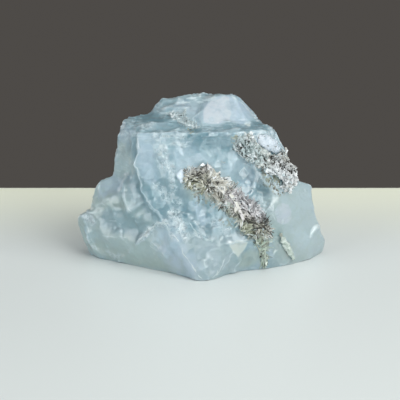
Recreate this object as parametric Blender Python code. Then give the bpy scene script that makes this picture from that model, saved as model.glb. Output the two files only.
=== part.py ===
"""A rough aquamarine, broken from the rock with silvery mica still grown on its front.

The stone stands on its flat break at z = 0, with its front towards -Y. It is one solid: flat-faced
lumps grown together, with terraces, chipped edges and shell-shaped scoops. The mica crusts and the
white albite are separate minerals that lie on it with a hairline gap.

The lumps, scoops and crusts are placed in millimetres, in the stone's own frame.
"""

import math
import random

import bmesh
import bpy
from mathutils import Matrix, Vector, kdtree
from mathutils.bvhtree import BVHTree

MM = 0.001

# Driving dimensions, in millimetres.
STONE_WIDTH = 60.4  # left tip to right tip
STONE_HEIGHT = 39.4  # base to the top of the cap
LEDGE_HEIGHT = 33.2  # the flat top of the main block
BACK_DEPTH = 17.5  # how far the stone reaches behind its middle
FRONT_DEPTH = 17.6  # how far the nose reaches in front of it
BURIED = 3.0  # how far each lump runs below the base before the break is cut
HEALED = 0.9  # how far the joints between the lumps have grown shut
CRUST_GAP = 0.3  # between two minerals
CRUST_STEP = 0.3  # the finest step of a crust while it is shaped
CRUST_SCARS = 1.3  # between the pits of a crust
CRUST_PITS = 0.32  # how deep they are
ROW_SPACING = 0.7  # between the rows of grains that a crust grows from
GRAIN_SIZES = (0.85, 1.12)  # how much they differ
GRAIN_RISE = 0.15  # how far their middles stand off the stone
RIM_THIN = 0.45  # the share of its thickness that a crust keeps at its rim
PLATE_LENGTH = 2.6  # a mica plate, corner to corner
PLATE_WIDTH = 1.5
PLATE_THICKNESS = 0.4

SCAR_SPACING = 3.4  # between the middles of the flakes that broke off the surface
SCAR_DEPTH = 0.55  # of the deepest of them, where the break is rough
SCAR_TILT = 0.10  # how far their floors lean
SCAR_FLOORS = (0.0, 0.5)  # how high their floors lie, as a share of that depth
SCAR_WIDTHS = (0.7, 1.3)  # how wide they are, as a share of that spacing
BOWLS_NEAR = 7  # how many of them can reach a point
ZONE_PULL = 6.0  # how much a zone of the break outweighs the plain break round it
GRAIN = 0.45  # the finest step of the stone's surface while it is shaped
FLOOR_SIZE = 200  # of the block that cuts the base flat
STONE_FACES = 4300
GROWN_FACES = 4500  # of the grown copy that cuts the hairline gap
SEED = 41

BERYL_IOR = 1.57

LEFT = -STONE_WIDTH / 2
RIGHT = STONE_WIDTH / 2

# The lumps of the stone, each the smallest convex solid round its points.
LUMPS = {
    "main_block": [
        (-15.0, -7.5, LEDGE_HEIGHT - 0.2), (-15.9, -8.8, 25.8), (-14.6, -9.6, 22.3), (-13.0, -10.8, 18.5),
        (-9.0, -12.9, 13.5), (-6.5, -14.1, 9.4), (-1.2, -16.8, 0.9), (0.7, -FRONT_DEPTH, 0.8),
        (3.4, -17.0, 0.8), (-0.6, -16.2, -BURIED), (3.0, -16.0, -BURIED), (6.2, -13.0, -BURIED),
        (7.2, -13.1, 0.6), (9.2, -13.6, 7.2), (-8.8, -8.7, LEDGE_HEIGHT), (-8.0, -10.6, 26.0),
        (8.6, -7.9, LEDGE_HEIGHT), (9.0, -9.8, 25.0), (13.6, -5.4, LEDGE_HEIGHT - 0.2),
        (17.0, -2.8, 32.2), (17.6, -3.2, 29.2), (15.6, -7.8, 22.0), (12.6, -11.0, 13.0),
        (-13.0, 9.5, LEDGE_HEIGHT - 0.4), (14.2, 9.5, 32.0), (-15.5, 11.0, 14.0), (16.0, 11.0, 14.0),
        (-10.0, -6.0, -BURIED), (8.0, 6.0, -BURIED), (-8.0, 8.0, -BURIED),
        (-17.0, -4.4, LEDGE_HEIGHT - 0.4), (-17.7, -5.0, 24.0), (-16.2, -6.4, 17.0),
    ],
    "left_column": [
        (-18.0, 2.4, 33.8), (-19.4, 1.0, 32.2), (-20.4, 0.0, 28.4), (-20.7, 0.2, 22.6),
        (-21.2, -0.6, 16.0), (-18.2, -2.9, 33.4), (-17.0, -3.6, 33.2), (-17.6, -4.2, 24.6),
        (-16.0, -6.0, 16.0), (-19.4, -3.4, 20.0), (-19.2, -2.8, 28.4), (-15.4, 8.0, 33.2),
        (-17.6, 9.0, 24.0), (-18.4, 8.5, 15.0), (-10.0, 3.0, 33.4), (-10.0, -2.0, 15.0),
    ],
    "left_wing": [
        (LEFT - 0.3, 0.4, 8.9), (-29.2, -1.4, 10.4), (-30.2, 0.8, 6.6), (-28.8, -1.0, 3.9),
        (-26.8, -0.5, 0.6), (-26.6, 0.0, -BURIED), (-24.0, -3.6, 0.0), (-22.8, -3.0, -BURIED),
        (-15.2, -8.3, 0.0), (-14.8, -7.6, -BURIED), (-8.6, -12.2, 0.0), (-8.4, -11.0, -BURIED),
        (-2.0, -15.6, 0.4), (-2.4, -14.4, -BURIED), (-6.6, -13.5, 8.6), (-13.2, -11.2, 8.0),
        (-20.6, -7.4, 6.6), (-26.2, -1.2, 12.2), (-23.0, -4.8, 14.0), (-17.0, -8.6, 15.4),
        (-10.8, -11.8, 12.8), (-26.8, 6.0, 8.2), (-22.0, 6.0, -BURIED), (-23.0, 9.0, 6.0),
        (-12.0, 4.0, 16.0),
    ],
    "left_crest": [
        (-24.5, -1.0, 19.3), (-24.2, 1.6, 18.8), (-25.9, -0.4, 16.4), (-26.6, -0.8, 12.8),
        (-20.8, -2.6, 20.9), (-17.5, -5.0, 21.0), (-14.4, -7.6, 20.2), (-12.6, -9.6, 17.2),
        (-22.4, 5.5, 16.5), (-23.4, -4.2, 15.4), (-17.0, -8.0, 14.0), (-23.0, 0.0, 6.0),
        (-12.0, 2.0, 20.2), (-10.0, -6.0, 8.0),
    ],
    "left_slab": [
        (-19.0, -5.9, 20.1), (-14.2, -8.8, 20.0), (-11.6, -11.2, 16.8), (-9.4, -12.6, 13.2),
        (-12.6, -11.6, 11.6), (-15.2, -10.5, 12.6), (-17.4, -9.0, 13.0), (-18.6, -7.9, 15.2),
        (-14.0, -4.0, 18.0), (-13.0, -6.0, 12.0),
    ],
    "right_wing": [
        (27.5, 0.2, 17.8), (30.0, 0.2, 15.0), (31.3, 0.0, 11.6), (31.2, 0.0, 8.2),
        (RIGHT + 0.5, 0.6, 2.6), (30.3, 0.8, 0.6), (29.4, 1.2, -BURIED), (26.8, -3.9, 0.2),
        (26.2, -3.2, -BURIED), (21.6, -7.4, 0.2), (21.0, -6.6, -BURIED), (15.5, -10.4, 0.2),
        (15.2, -9.6, -BURIED), (8.4, -12.2, 0.3), (7.6, -11.8, -BURIED), (9.4, -11.8, 8.0),
        (13.2, -11.2, 9.0), (14.8, -10.2, 13.6), (16.2, -8.9, 16.4), (19.8, -5.6, 18.2),
        (23.4, -1.2, 19.3), (21.0, 8.0, 14.5), (27.0, 7.0, 5.0), (24.0, 7.0, -BURIED), (27.4, -3.8, 6.0),
        (8.0, 0.0, 8.0),
    ],
    "right_flank": [
        (18.8, -1.8, 30.0), (20.3, -0.2, 26.6), (21.6, 0.2, 23.6), (22.4, 0.0, 20.8), (22.9, -0.8, 17.0),
        (16.6, -6.0, 25.4), (18.8, -4.9, 20.6), (16.0, -8.2, 16.4), (19.8, -5.2, 16.0), (22.5, 4.0, 12.0),
        (18.0, 8.0, 26.0), (19.0, 8.5, 14.0), (12.0, -2.0, 28.0), (13.0, 0.0, 14.0),
    ],
    "right_step": [
        (15.2, 2.6, 32.2), (13.0, -0.4, 33.4), (10.0, -4.6, 33.4), (17.4, 0.6, 32.3), (18.6, -0.9, 31.4),
        (19.2, -0.9, 29.3), (14.0, 8.0, 32.0), (18.2, 6.0, 28.0), (12.0, -4.6, 28.0), (15.2, -3.8, 32.9),
    ],
    "low_terrace": [
        (-17.6, 1.0, 33.8), (-15.6, -4.6, 33.8), (-9.0, -6.2, 33.9), (-3.4, -5.4, 34.0),
        (-16.6, 6.5, 33.4), (-1.0, -4.6, 34.0), (0.0, 6.0, 34.2), (-9.0, -6.3, 31.0), (-15.6, -4.7, 31.0),
        (-1.0, -4.8, 31.0), (-16.0, 5.0, 31.0),
    ],
    "high_terrace": [
        (-13.6, 3.6, 34.2), (-12.2, -1.2, 34.5), (-7.4, -3.0, 34.8), (-3.4, -2.6, 34.9),
        (-13.0, 8.0, 33.8), (0.0, 8.0, 35.2), (-7.4, -3.2, 32.0), (-12.4, -1.4, 32.0), (-13.6, 4.0, 32.0),
        (0.0, 0.0, 32.0),
    ],
    "cap_left": [
        (-13.2, 7.0, 33.8), (-12.0, 7.4, 34.8), (-9.6, 7.6, 37.5), (-7.6, 7.8, 37.9), (-5.1, 7.6, 38.6),
        (-1.5, 7.0, 39.1), (1.9, 6.6, STONE_HEIGHT), (3.6, 6.0, 39.0), (0.6, 2.4, 37.1),
        (-2.9, 3.2, 36.8), (-8.4, 3.6, 36.2), (-11.8, 2.8, 34.6), (-1.0, -2.2, 34.2), (-7.0, 11.5, 36.6),
        (1.0, 12.0, 37.4), (-9.0, 11.0, 31.0), (3.0, 10.0, 31.0), (-5.0, 0.2, 35.4), (-4.0, -1.0, 31.0),
    ],
    "cap_right": [
        (2.8, 6.0, 38.9), (7.8, 5.0, 39.0), (10.9, 5.0, 37.2), (13.4, 4.6, 34.5), (14.4, 4.2, 32.6),
        (-1.2, -2.6, 34.2), (0.8, -3.4, 33.6), (8.4, -3.0, 33.6), (13.0, 1.6, 33.6), (0.2, 2.0, 36.6),
        (4.0, -3.6, 31.0), (11.0, -1.0, 31.0), (5.0, 11.5, 37.2), (9.6, 10.5, 35.4), (11.0, 10.0, 31.0),
        (0.0, 8.0, 31.0),
    ],
    "base_mass": [
        (-23.5, -3.0, -BURIED), (-15.2, -7.2, -BURIED), (-8.6, -10.6, -BURIED), (9.4, -10.6, -BURIED),
        (15.5, -8.8, -BURIED), (21.4, -6.0, -BURIED), (26.4, -3.0, -BURIED), (26.0, 8.0, -BURIED),
        (16.0, 14.0, -BURIED), (-4.0, 16.2, -BURIED), (-17.0, 13.0, -BURIED), (-25.0, 6.5, -BURIED),
        (-22.4, 7.4, 8.0), (-16.5, 12.0, 15.0), (-2.0, 15.6, 14.0), (15.0, 12.8, 14.0), (23.4, 8.6, 8.0),
        (22.0, 2.0, 15.0), (-21.0, 2.0, 15.0), (-10.0, -8.0, 6.0), (12.0, -8.0, 8.0),
    ],
    "back_shelf": [
        (-15.4, 11.6, 23.0), (-10.0, 15.2, 20.5), (1.0, BACK_DEPTH + 0.4, 13.0), (9.0, 16.4, 15.0),
        (16.0, 11.0, 17.5), (-12.0, 14.8, -BURIED), (1.5, BACK_DEPTH - 0.4, -BURIED),
        (13.5, 14.2, -BURIED), (-19.0, 11.0, 9.0), (-19.0, 9.0, -BURIED), (19.6, 11.5, 8.5),
        (20.0, 9.0, -BURIED), (0.0, 4.0, 21.0), (-3.0, 13.6, 23.5), (0.0, 4.0, -BURIED),
    ],
    "back_ridge": [
        (-9.6, 9.0, 36.2), (3.0, 9.4, 37.0), (8.4, 9.0, 35.4), (-12.0, 12.0, 29.0), (4.0, 13.6, 28.0),
        (10.6, 11.6, 29.6), (-9.0, 15.0, 21.5), (5.0, 16.4, 18.5), (-9.0, 6.0, 20.0), (11.0, 12.8, 18.0),
        (9.0, 6.0, 18.0), (-3.0, 14.6, 26.0),
    ],
}

# Shell-shaped breaks: where each meets the surface, which way it faces, its reach along it and its depth.
SCOOPS = [
    ((12.2, -8.9, 22.6), (0.1, -1.0, 0.2), 4.2, 1.6),
    ((11.2, -10.6, 18.2), (0.1, -1.0, 0.5), 2.8, 1.0),
    ((15.4, -8.2, 19.8), (-0.4, -1.0, 0.1), 3.0, 1.2),
    ((2.4, -14.6, 12.4), (0.1, -1.0, 0.3), 3.6, 0.7),
    ((-5.4, -12.4, 17.4), (-0.1, -1.0, 0.3), 3.4, 0.5),
    ((-22.6, -6.4, 11.0), (-0.5, -1.0, 0.2), 3.8, 0.7),
    ((-16.0, -10.2, 9.6), (-0.3, -1.0, 0.1), 3.2, 0.6),
    ((-19.2, -2.4, 26.4), (-1.0, -0.7, 0.1), 3.0, 0.5),
    ((-19.4, -2.6, 22.6), (-1.0, -0.7, 0.0), 2.6, 0.5),
    ((-14.0, 12.6, 17.0), (-0.5, 1.0, 0.3), 5.4, 1.3),
    ((6.4, 15.0, 23.0), (0.3, 1.0, 0.5), 4.6, 1.0),
    ((15.0, 12.6, 10.0), (0.8, 1.0, 0.2), 4.6, 1.0),
    ((-3.0, 17.0, 8.0), (0.0, 1.0, 0.1), 4.4, 0.8),
    ((25.4, 4.6, 9.0), (1.0, 0.2, 0.4), 4.4, 0.9),
    ((-23.4, 7.0, 10.0), (-1.0, 0.6, 0.4), 4.2, 0.9),
    ((20.2, 5.0, 23.0), (1.0, 0.2, 0.4), 4.4, 1.0),
]

# Sharp ridges of the front: how far each stands up, how far it slopes away on its left and on its right as
# it runs, and the places that it passes.
RIDGES = [
    (0.8, 5.0, 6.5, [(-7.5, -13.0, 12.5), (-4.5, -14.5, 5.5), (-1.0, -16.5, 1.5)]),
    (0.7, 4.0, 0.8, [
        (-14.5, -7.5, 32.5), (-14.5, -8.5, 28.5), (-15.5, -9.0, 25.5), (-14.0, -10.0, 21.0),
        (-12.5, -10.5, 17.0), (-9.0, -12.5, 13.5),
    ]),
    (0.4, 2.2, 2.2, [(-28.0, -1.5, 9.0), (-27.5, -2.0, 6.5), (-24.5, -3.0, 0.5)]),
    (0.3, 2.4, 2.9, [(-26.5, -2.5, 5.5), (-21.0, -7.0, 7.0), (-15.5, -10.0, 7.0)]),
    (0.8, 2.4, 0.8, [(-18.5, -5.0, 20.0), (-18.0, -7.0, 17.5), (-17.0, -9.0, 14.0), (-14.0, -10.0, 16.0)]),
    (0.5, 4.0, 0.8, [(2.5, 5.0, 38.5), (0.5, 1.5, 36.5), (0.0, -3.0, 33.5)]),
    (0.4, 3.4, 2.0, [(8.0, 4.5, 38.5), (9.0, 2.0, 36.5), (10.5, 0.5, 34.5)]),
    (0.4, 1.4, 1.2, [(-8.5, 3.5, 35.5), (-3.5, 2.0, 36.5)]),
    (0.5, 0.8, 2.2, [(11.0, -11.5, 7.5), (6.5, -14.0, 8.0)]),
    (0.6, 2.9, 2.4, [(11.0, -11.5, 7.5), (8.5, -12.5, 4.5), (8.0, -12.5, 1.0)]),
    (0.6, 0.8, 1.5, [(8.5, -10.0, 19.0), (10.0, -9.5, 18.0), (11.5, -8.0, 18.0), (12.0, -7.0, 19.5)]),
    (0.5, 0.8, 1.1, [(12.5, -7.5, 24.5), (13.5, -7.5, 22.5), (12.0, -7.0, 19.5)]),
]

# The crusts: runs of (x, y, z, half width, thickness) along the stone's surface, which they are snapped to.
MICA_FRONT = [
    [
        (-2.8, -11.0, 23.2, 2.2, 1.1), (0.4, -10.9, 22.8, 3.1, 1.5), (3.0, -11.2, 21.3, 3.3, 1.5),
        (5.6, -11.5, 18.9, 3.1, 1.5), (8.4, -11.3, 16.4, 3.2, 1.4), (11.0, -11.0, 13.8, 3.2, 1.4),
        (13.0, -10.8, 11.0, 2.9, 1.3), (14.2, -10.6, 8.2, 1.9, 1.1), (14.5, -10.6, 5.6, 0.9, 0.8),
    ],
    [(14.5, -10.6, 6.0, 0.8, 1.0), (14.5, -10.7, 3.4, 0.6, 0.9), (14.8, -10.5, 1.4, 0.6, 0.9)],
    [(0.0, -10.8, 24.2, 1.0, 0.9), (2.4, -10.4, 24.8, 1.3, 1.0), (4.0, -10.1, 25.8, 0.6, 0.8)],
]
MICA_SHOULDER = [
    [
        (7.9, -8.5, 30.2, 1.2, 0.7), (9.8, -8.0, 29.6, 2.2, 1.0), (11.9, -7.5, 28.2, 2.6, 1.1),
        (13.8, -7.0, 26.4, 2.3, 1.1), (15.8, -6.2, 24.8, 2.0, 1.2), (18.2, -4.2, 23.8, 3.0, 1.5),
        (20.4, -2.0, 22.2, 3.5, 1.6), (21.0, -2.6, 20.0, 2.8, 1.5), (20.0, -5.0, 18.2, 1.5, 1.0),
    ],
    [(9.0, -7.8, 31.2, 1.2, 0.9), (11.2, -6.9, 31.5, 1.0, 0.9)],
    [(18.8, -1.9, 26.8, 1.2, 1.1), (20.0, -1.4, 24.4, 2.2, 1.4)],
]
MICA_TUFT = [[
    (-6.8, 1.6, 35.2, 1.1, 0.7), (-5.6, -0.5, 34.9, 1.9, 0.9), (-4.3, -2.4, 34.5, 1.6, 0.9),
    (-2.8, -4.2, 33.8, 1.2, 0.8), (-1.6, -5.2, 33.4, 0.8, 0.7),
]]
MICA_LEAF = [[
    (18.7, -8.4, 8.0, 0.5, 0.9), (19.3, -8.2, 6.6, 0.9, 1.0), (20.2, -7.8, 4.8, 0.9, 1.0),
    (21.2, -7.4, 2.9, 0.8, 1.0), (21.9, -7.0, 1.6, 0.4, 0.9),
]]
ALBITE_PATCH = [[
    (13.2, -6.0, 30.8, 1.2, 0.9), (14.9, -5.0, 29.9, 1.9, 1.2), (16.4, -4.3, 28.7, 2.0, 1.2),
    (17.7, -3.6, 27.6, 1.4, 1.0),
]]
ALBITE_CHIP = [[(-4.4, -10.9, 24.6, 0.7, 0.9), (-4.9, -11.0, 23.4, 0.9, 1.1), (-4.6, -11.4, 22.2, 0.6, 0.9)]]

# Where the break is rough or smooth: the middle, the reach, and the share of the full scar depth there.
PLAIN_BREAK = 0.45
BREAK_ZONES = [
    ((-12.6, -8.6, 28.0), 4.5, 0.05),
    ((-8.2, -9.8, 29.0), 3.0, 0.8),
    ((-4.0, -10.0, 27.5), 4.5, 0.25),
    ((-8.0, -13.0, 12.0), 5.0, 1.0),
    ((-27.0, -2.0, 9.0), 3.5, 0.9),
    ((-20.0, -7.0, 13.0), 5.0, 0.6),
    ((-17.0, -8.0, 3.0), 7.0, 0.15),
    ((2.0, -16.5, 6.0), 5.0, 0.1),
    ((4.0, -12.0, 18.0), 5.0, 0.8),
    ((22.0, -5.5, 10.0), 9.0, 0.08),
    ((14.0, -10.6, 6.0), 5.0, 0.1),
    ((6.0, -0.5, 36.5), 5.0, 0.1),
    ((-6.0, 3.0, 36.5), 5.0, 0.9),
    ((-19.5, -1.0, 27.0), 5.0, 0.8),
    ((14.0, -9.0, 20.0), 4.5, 1.1),
    ((0.0, 14.0, 18.0), 16.0, 1.2),
]


def clear_scene():
    for found in list(bpy.data.objects):
        bpy.data.objects.remove(found, do_unlink=True)


def new_object(name, bm):
    mesh = bpy.data.meshes.new(name)
    bm.to_mesh(mesh)
    bm.free()
    made = bpy.data.objects.new(name, mesh)
    bpy.context.scene.collection.objects.link(made)
    return made


def bake(made):
    """Applies the object's modifiers to its mesh."""
    depsgraph = bpy.context.evaluated_depsgraph_get()
    baked = bpy.data.meshes.new_from_object(made.evaluated_get(depsgraph), depsgraph=depsgraph)
    made.modifiers.clear()
    spent = made.data
    made.data = baked
    bpy.data.meshes.remove(spent)


def combine(target, others, operation):
    """Joins the other objects to the target, or cuts them from it, and removes them."""
    tools = bpy.data.collections.new("tools")
    for other in others:
        tools.objects.link(other)
    boolean = target.modifiers.new("combine", "BOOLEAN")
    boolean.operation = operation
    boolean.operand_type = "COLLECTION"
    boolean.collection = tools
    boolean.solver = "EXACT"
    bake(target)
    for other in others:
        bpy.data.objects.remove(other, do_unlink=True)
    bpy.data.collections.remove(tools)


def even_surface(made, step):
    """Gives the object one closed skin of small, even faces."""
    remesh = made.modifiers.new("even", "REMESH")
    remesh.mode = "VOXEL"
    remesh.voxel_size = step * MM
    bake(made)


def swell(made, distance):
    """Moves every point of the surface outwards by that many millimetres."""
    bm = bmesh.new()
    bm.from_mesh(made.data)
    bm.normal_update()
    moves = [vertex.normal * distance * MM for vertex in bm.verts]
    for vertex, move in zip(bm.verts, moves):
        vertex.co += move
    bm.to_mesh(made.data)
    bm.free()


def thin_out(made, faces):
    """Keeps about that many triangles, where they matter most."""
    triangles = sum(len(face.vertices) - 2 for face in made.data.polygons)
    decimate = made.modifiers.new("thin", "DECIMATE")
    decimate.ratio = min(1.0, faces / triangles)
    bake(made)


def hull(points):
    bm = bmesh.new()
    for point in points:
        bm.verts.new(Vector(point) * MM)
    made = bmesh.ops.convex_hull(bm, input=bm.verts)
    loose = [part for part in made["geom_interior"] if isinstance(part, bmesh.types.BMVert)]
    bmesh.ops.delete(bm, geom=loose, context="VERTS")
    bmesh.ops.recalc_face_normals(bm, faces=bm.faces)
    return bm


def scoop_cutter(at, facing, reach, depth):
    """A ball that takes a shell-shaped flake of that reach and depth, in millimetres, off a surface."""
    radius = (reach * reach + depth * depth) / (2 * depth)
    bm = bmesh.new()
    bmesh.ops.create_icosphere(bm, subdivisions=4, radius=radius * MM)
    middle = Vector(at) + Vector(facing).normalized() * (radius - depth)
    bmesh.ops.translate(bm, verts=bm.verts, vec=middle * MM)
    return new_object("scoop", bm)


def roughness_at(place):
    """The share of the full scar depth at a place, blended from the zones round it."""
    total = PLAIN_BREAK
    weight = 1.0
    for middle, reach, share in BREAK_ZONES:
        pull = ZONE_PULL * math.exp(-((place - Vector(middle)).length / reach) ** 4)
        total += pull * share
        weight += pull
    return total / weight


def scatter(luck):
    """A short way, in any direction."""
    return Vector((luck.gauss(0, 1), luck.gauss(0, 1), luck.gauss(0, 1)))


def scar(made, spacing, depth, luck, share_at):
    """Covers the surface with shallow bowls that meet in sharp ridges, as a brittle crystal breaks."""
    bm = bmesh.new()
    bm.from_mesh(made.data)
    bm.normal_update()
    tree_size = int(sum(face.calc_area() for face in bm.faces) / (spacing * MM) ** 2)
    picks = luck.sample(range(len(bm.verts)), tree_size)
    bm.verts.ensure_lookup_table()
    tree = kdtree.KDTree(tree_size)
    bowls = []
    for index, pick in enumerate(picks):
        place = bm.verts[pick].co / MM
        tilt = scatter(luck) * SCAR_TILT
        bowls.append((place, tilt, luck.uniform(*SCAR_FLOORS), luck.uniform(*SCAR_WIDTHS)))
        tree.insert(place, index)
    tree.balance()
    moves = []
    for vertex in bm.verts:
        place = vertex.co / MM
        lowest = 1.0
        for near, index, distance in tree.find_n(place, BOWLS_NEAR):
            middle, tilt, floor, width = bowls[index]
            offset = place - middle
            rise = floor + (offset.length / (spacing * width)) ** 2 + offset.dot(tilt)
            lowest = min(lowest, rise)
        moves.append(vertex.normal * (lowest - 1.0) * depth * share_at(place) * MM)
    for vertex, move in zip(bm.verts, moves):
        vertex.co += move
    bm.to_mesh(made.data)
    bm.free()


def off_line(place, up, line):
    """How far a place is from a line, and whether it is on the left of it as the line runs."""
    nearest = math.inf
    on_left = True
    for start, end in zip(line, line[1:]):
        start = Vector(start)
        run = Vector(end) - start
        share = min(1.0, max(0.0, (place - start).dot(run) / run.length_squared))
        gap = place - start - run * share
        if gap.length < nearest:
            nearest = gap.length
            on_left = gap.dot(up.cross(run)) > 0
    return nearest, on_left


def raise_ridges(made, ridges):
    """Draws the surface up to a sharp crest along each line."""
    bm = bmesh.new()
    bm.from_mesh(made.data)
    bm.normal_update()
    moves = []
    for vertex in bm.verts:
        place = vertex.co / MM
        lift = 0.0
        for height, left, right, line in ridges:
            nearest, on_left = off_line(place, vertex.normal, line)
            lift = max(lift, height * (1.0 - nearest / (left if on_left else right)))
        moves.append(vertex.normal * lift * MM)
    for vertex, move in zip(bm.verts, moves):
        vertex.co += move
    bm.to_mesh(made.data)
    bm.free()


def stone(luck):
    lumps = [new_object(name, hull(points)) for name, points in LUMPS.items()]
    body = lumps[0]
    combine(body, lumps[1:], "UNION")
    combine(body, [scoop_cutter(*flake) for flake in SCOOPS], "DIFFERENCE")
    even_surface(body, GRAIN)
    swell(body, HEALED)
    even_surface(body, GRAIN)
    swell(body, -HEALED)
    even_surface(body, GRAIN)
    scar(body, SCAR_SPACING, SCAR_DEPTH, luck, roughness_at)
    raise_ridges(body, RIDGES)
    thin_out(body, STONE_FACES)
    floor = bmesh.new()
    bmesh.ops.create_cube(floor, size=FLOOR_SIZE * MM)
    bmesh.ops.translate(floor, verts=floor.verts, vec=(0, 0, -FLOOR_SIZE / 2 * MM))
    combine(body, [new_object("floor", floor)], "DIFFERENCE")
    body.name = "aquamarine_crystal"
    return body


def surface_of(made):
    return BVHTree.FromObject(made, bpy.context.evaluated_depsgraph_get())


def along(run, surface, step=0.8):
    """Walks a run in even steps: each place on the surface, its normal, its heading, width and thickness."""
    for start, end in zip(run, run[1:]):
        steps = max(1, round((Vector(end[:3]) - Vector(start[:3])).length / step))
        heading = (Vector(end[:3]) - Vector(start[:3])).normalized()
        for turn in range(steps + 1):
            share = turn / steps
            place = Vector(start[:3]).lerp(Vector(end[:3]), share)
            width = start[3] + (end[3] - start[3]) * share
            thickness = start[4] + (end[4] - start[4]) * share
            nearest, normal, face, distance = surface.find_nearest(place * MM)
            yield nearest / MM, normal, heading, width, thickness


def crust_core(name, runs, surface, luck):
    """A lumpy skin over the stone: small balls side by side along each run, grown into one."""
    bm = bmesh.new()
    for run in runs:
        for place, normal, heading, width, thickness in along(run, surface):
            across = heading.cross(normal).normalized()
            rows = max(1, round(width / ROW_SPACING))
            for row in range(-rows, rows + 1):
                aside = row / rows * (width - thickness * 0.6)
                spot, up, face, distance = surface.find_nearest((place + across * aside) * MM)
                edge = math.sqrt(1.0 - (row / (rows + 0.6)) ** 2)
                radius = thickness * (RIM_THIN + (1 - RIM_THIN) * edge) * luck.uniform(*GRAIN_SIZES)
                ball = bmesh.ops.create_icosphere(bm, subdivisions=2, radius=radius * MM)
                bmesh.ops.translate(bm, verts=ball["verts"], vec=spot + up * GRAIN_RISE * MM)
    core = new_object(name, bm)
    even_surface(core, CRUST_STEP)
    return core


def mica_plate(place, lean, spin, size):
    """One six-sided plate that stands at a place, leaning that way."""
    shape = Matrix.Diagonal((PLATE_LENGTH * size * MM, PLATE_WIDTH * size * MM, PLATE_THICKNESS * MM, 1.0))
    turn = lean.to_track_quat("X", "Z").to_matrix().to_4x4() @ Matrix.Rotation(spin, 4, "X")
    bm = bmesh.new()
    bmesh.ops.create_cone(
        bm, cap_ends=True, segments=6, radius1=0.5, radius2=0.5, depth=1.0,
        matrix=Matrix.Translation(place) @ turn @ shape,
    )
    return new_object("plate", bm)


def mica_plates(runs, surface, count, luck):
    """Plates scattered over a crust, most of them leaning along it."""
    spots = [spot for run in runs for spot in along(run, surface)]
    plates = []
    for turn in range(count):
        place, normal, heading, width, thickness = spots[int((turn + luck.random()) * len(spots) / count)]
        across = heading.cross(normal).normalized()
        aside = luck.uniform(-0.85, 0.85) * width
        spot, up, face, distance = surface.find_nearest((place + across * aside) * MM)
        lean = up * luck.uniform(0.35, 0.9) + heading * luck.gauss(0, 0.7)
        lean += across * (aside / width + luck.gauss(0, 0.4))
        size = luck.uniform(0.7, 1.15) * min(1.0, 0.5 + width / 4)
        plates.append(mica_plate(spot + up * thickness * 0.75 * MM, lean, luck.uniform(0, math.tau), size))
    return plates


def largest_island(made):
    """Drops any crumb that a cut has left behind: what no edge joins to the main body."""
    bm = bmesh.new()
    bm.from_mesh(made.data)
    left = set(bm.faces)
    islands = []
    while left:
        island = []
        rim = [left.pop()]
        while rim:
            face = rim.pop()
            island.append(face)
            for edge in face.edges:
                for other in edge.link_faces:
                    if other in left:
                        left.remove(other)
                        rim.append(other)
        islands.append(island)
    islands.sort(key=len)
    crumbs = [face for island in islands[:-1] for face in island]
    bmesh.ops.delete(bm, geom=crumbs, context="FACES")
    bm.to_mesh(made.data)
    bm.free()


def with_gap(made):
    """A copy of a solid, grown by the gap that its neighbours keep to it."""
    grown = made.copy()
    grown.data = made.data.copy()
    bpy.context.scene.collection.objects.link(grown)
    step = min(GRAIN, max(made.dimensions) / MM / 40)
    even_surface(grown, step)
    swell(grown, CRUST_GAP + step / 4)
    even_surface(grown, step)
    thin_out(grown, GROWN_FACES)
    return grown


def crust(name, runs, neighbours, luck, faces, plates=0):
    """A mineral grown on the stone: a core and its plates, cut back to a hairline from what it lies on."""
    surface = surface_of(neighbours[0])
    core = crust_core(name, runs, surface, luck)
    scar(core, CRUST_SCARS, CRUST_PITS, luck, lambda place: 1.0)
    thin_out(core, faces)
    if plates:
        combine(core, mica_plates(runs, surface, plates, luck), "UNION")
    for neighbour in neighbours:
        combine(core, [with_gap(neighbour)], "DIFFERENCE")
    largest_island(core)
    return core


def material(name, colour, roughness, metallic=0.0, clear=0.0):
    made = bpy.data.materials.new(name)
    made.use_nodes = True
    shader = made.node_tree.nodes["Principled BSDF"]
    shader.inputs["Base Color"].default_value = (*colour, 1.0)
    shader.inputs["Roughness"].default_value = roughness
    shader.inputs["Metallic"].default_value = metallic
    shader.inputs["Transmission Weight"].default_value = clear
    shader.inputs["IOR"].default_value = BERYL_IOR if clear else 1.5
    return made


def main():
    clear_scene()
    luck = random.Random(SEED)
    beryl = material("pale_blue_beryl", (0.45, 0.62, 0.66), 0.25, clear=0.6)
    silver_mica = material("silvery_mica", (0.42, 0.43, 0.38), 0.35, metallic=0.3)
    green_mica = material("greenish_mica", (0.55, 0.58, 0.45), 0.5)
    albite = material("white_albite", (0.82, 0.85, 0.86), 0.6)
    crystal = stone(luck)
    patch = crust("albite_patch_shoulder", ALBITE_PATCH, [crystal], luck, faces=240)
    chip = crust("albite_chip_front", ALBITE_CHIP, [crystal], luck, faces=120)
    front = crust("mica_crust_front", MICA_FRONT, [crystal, chip], luck, faces=540, plates=38)
    shoulder = crust("mica_crust_shoulder", MICA_SHOULDER, [crystal, patch], luck, faces=500, plates=36)
    tuft = crust("mica_tuft_ledge", MICA_TUFT, [crystal], luck, faces=160, plates=12)
    leaf = crust("mica_leaf_right", MICA_LEAF, [crystal], luck, faces=120)
    crystal.data.materials.append(beryl)
    patch.data.materials.append(albite)
    chip.data.materials.append(albite)
    for made in (front, shoulder, tuft):
        made.data.materials.append(silver_mica)
    leaf.data.materials.append(green_mica)


main()
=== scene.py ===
"""The finished surface of a rough aquamarine with silvery mica and white albite still grown on it.

The frame holds the plain solids. Here the stone gets its broken skin and its milky veils, and the
crusts get their plates. Marks on the stone's front are laid out on a drawing of it, 400 steps square
and about a quarter of a millimetre a step, with (0, 0) at its top left corner.
"""

import math
import random

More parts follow.
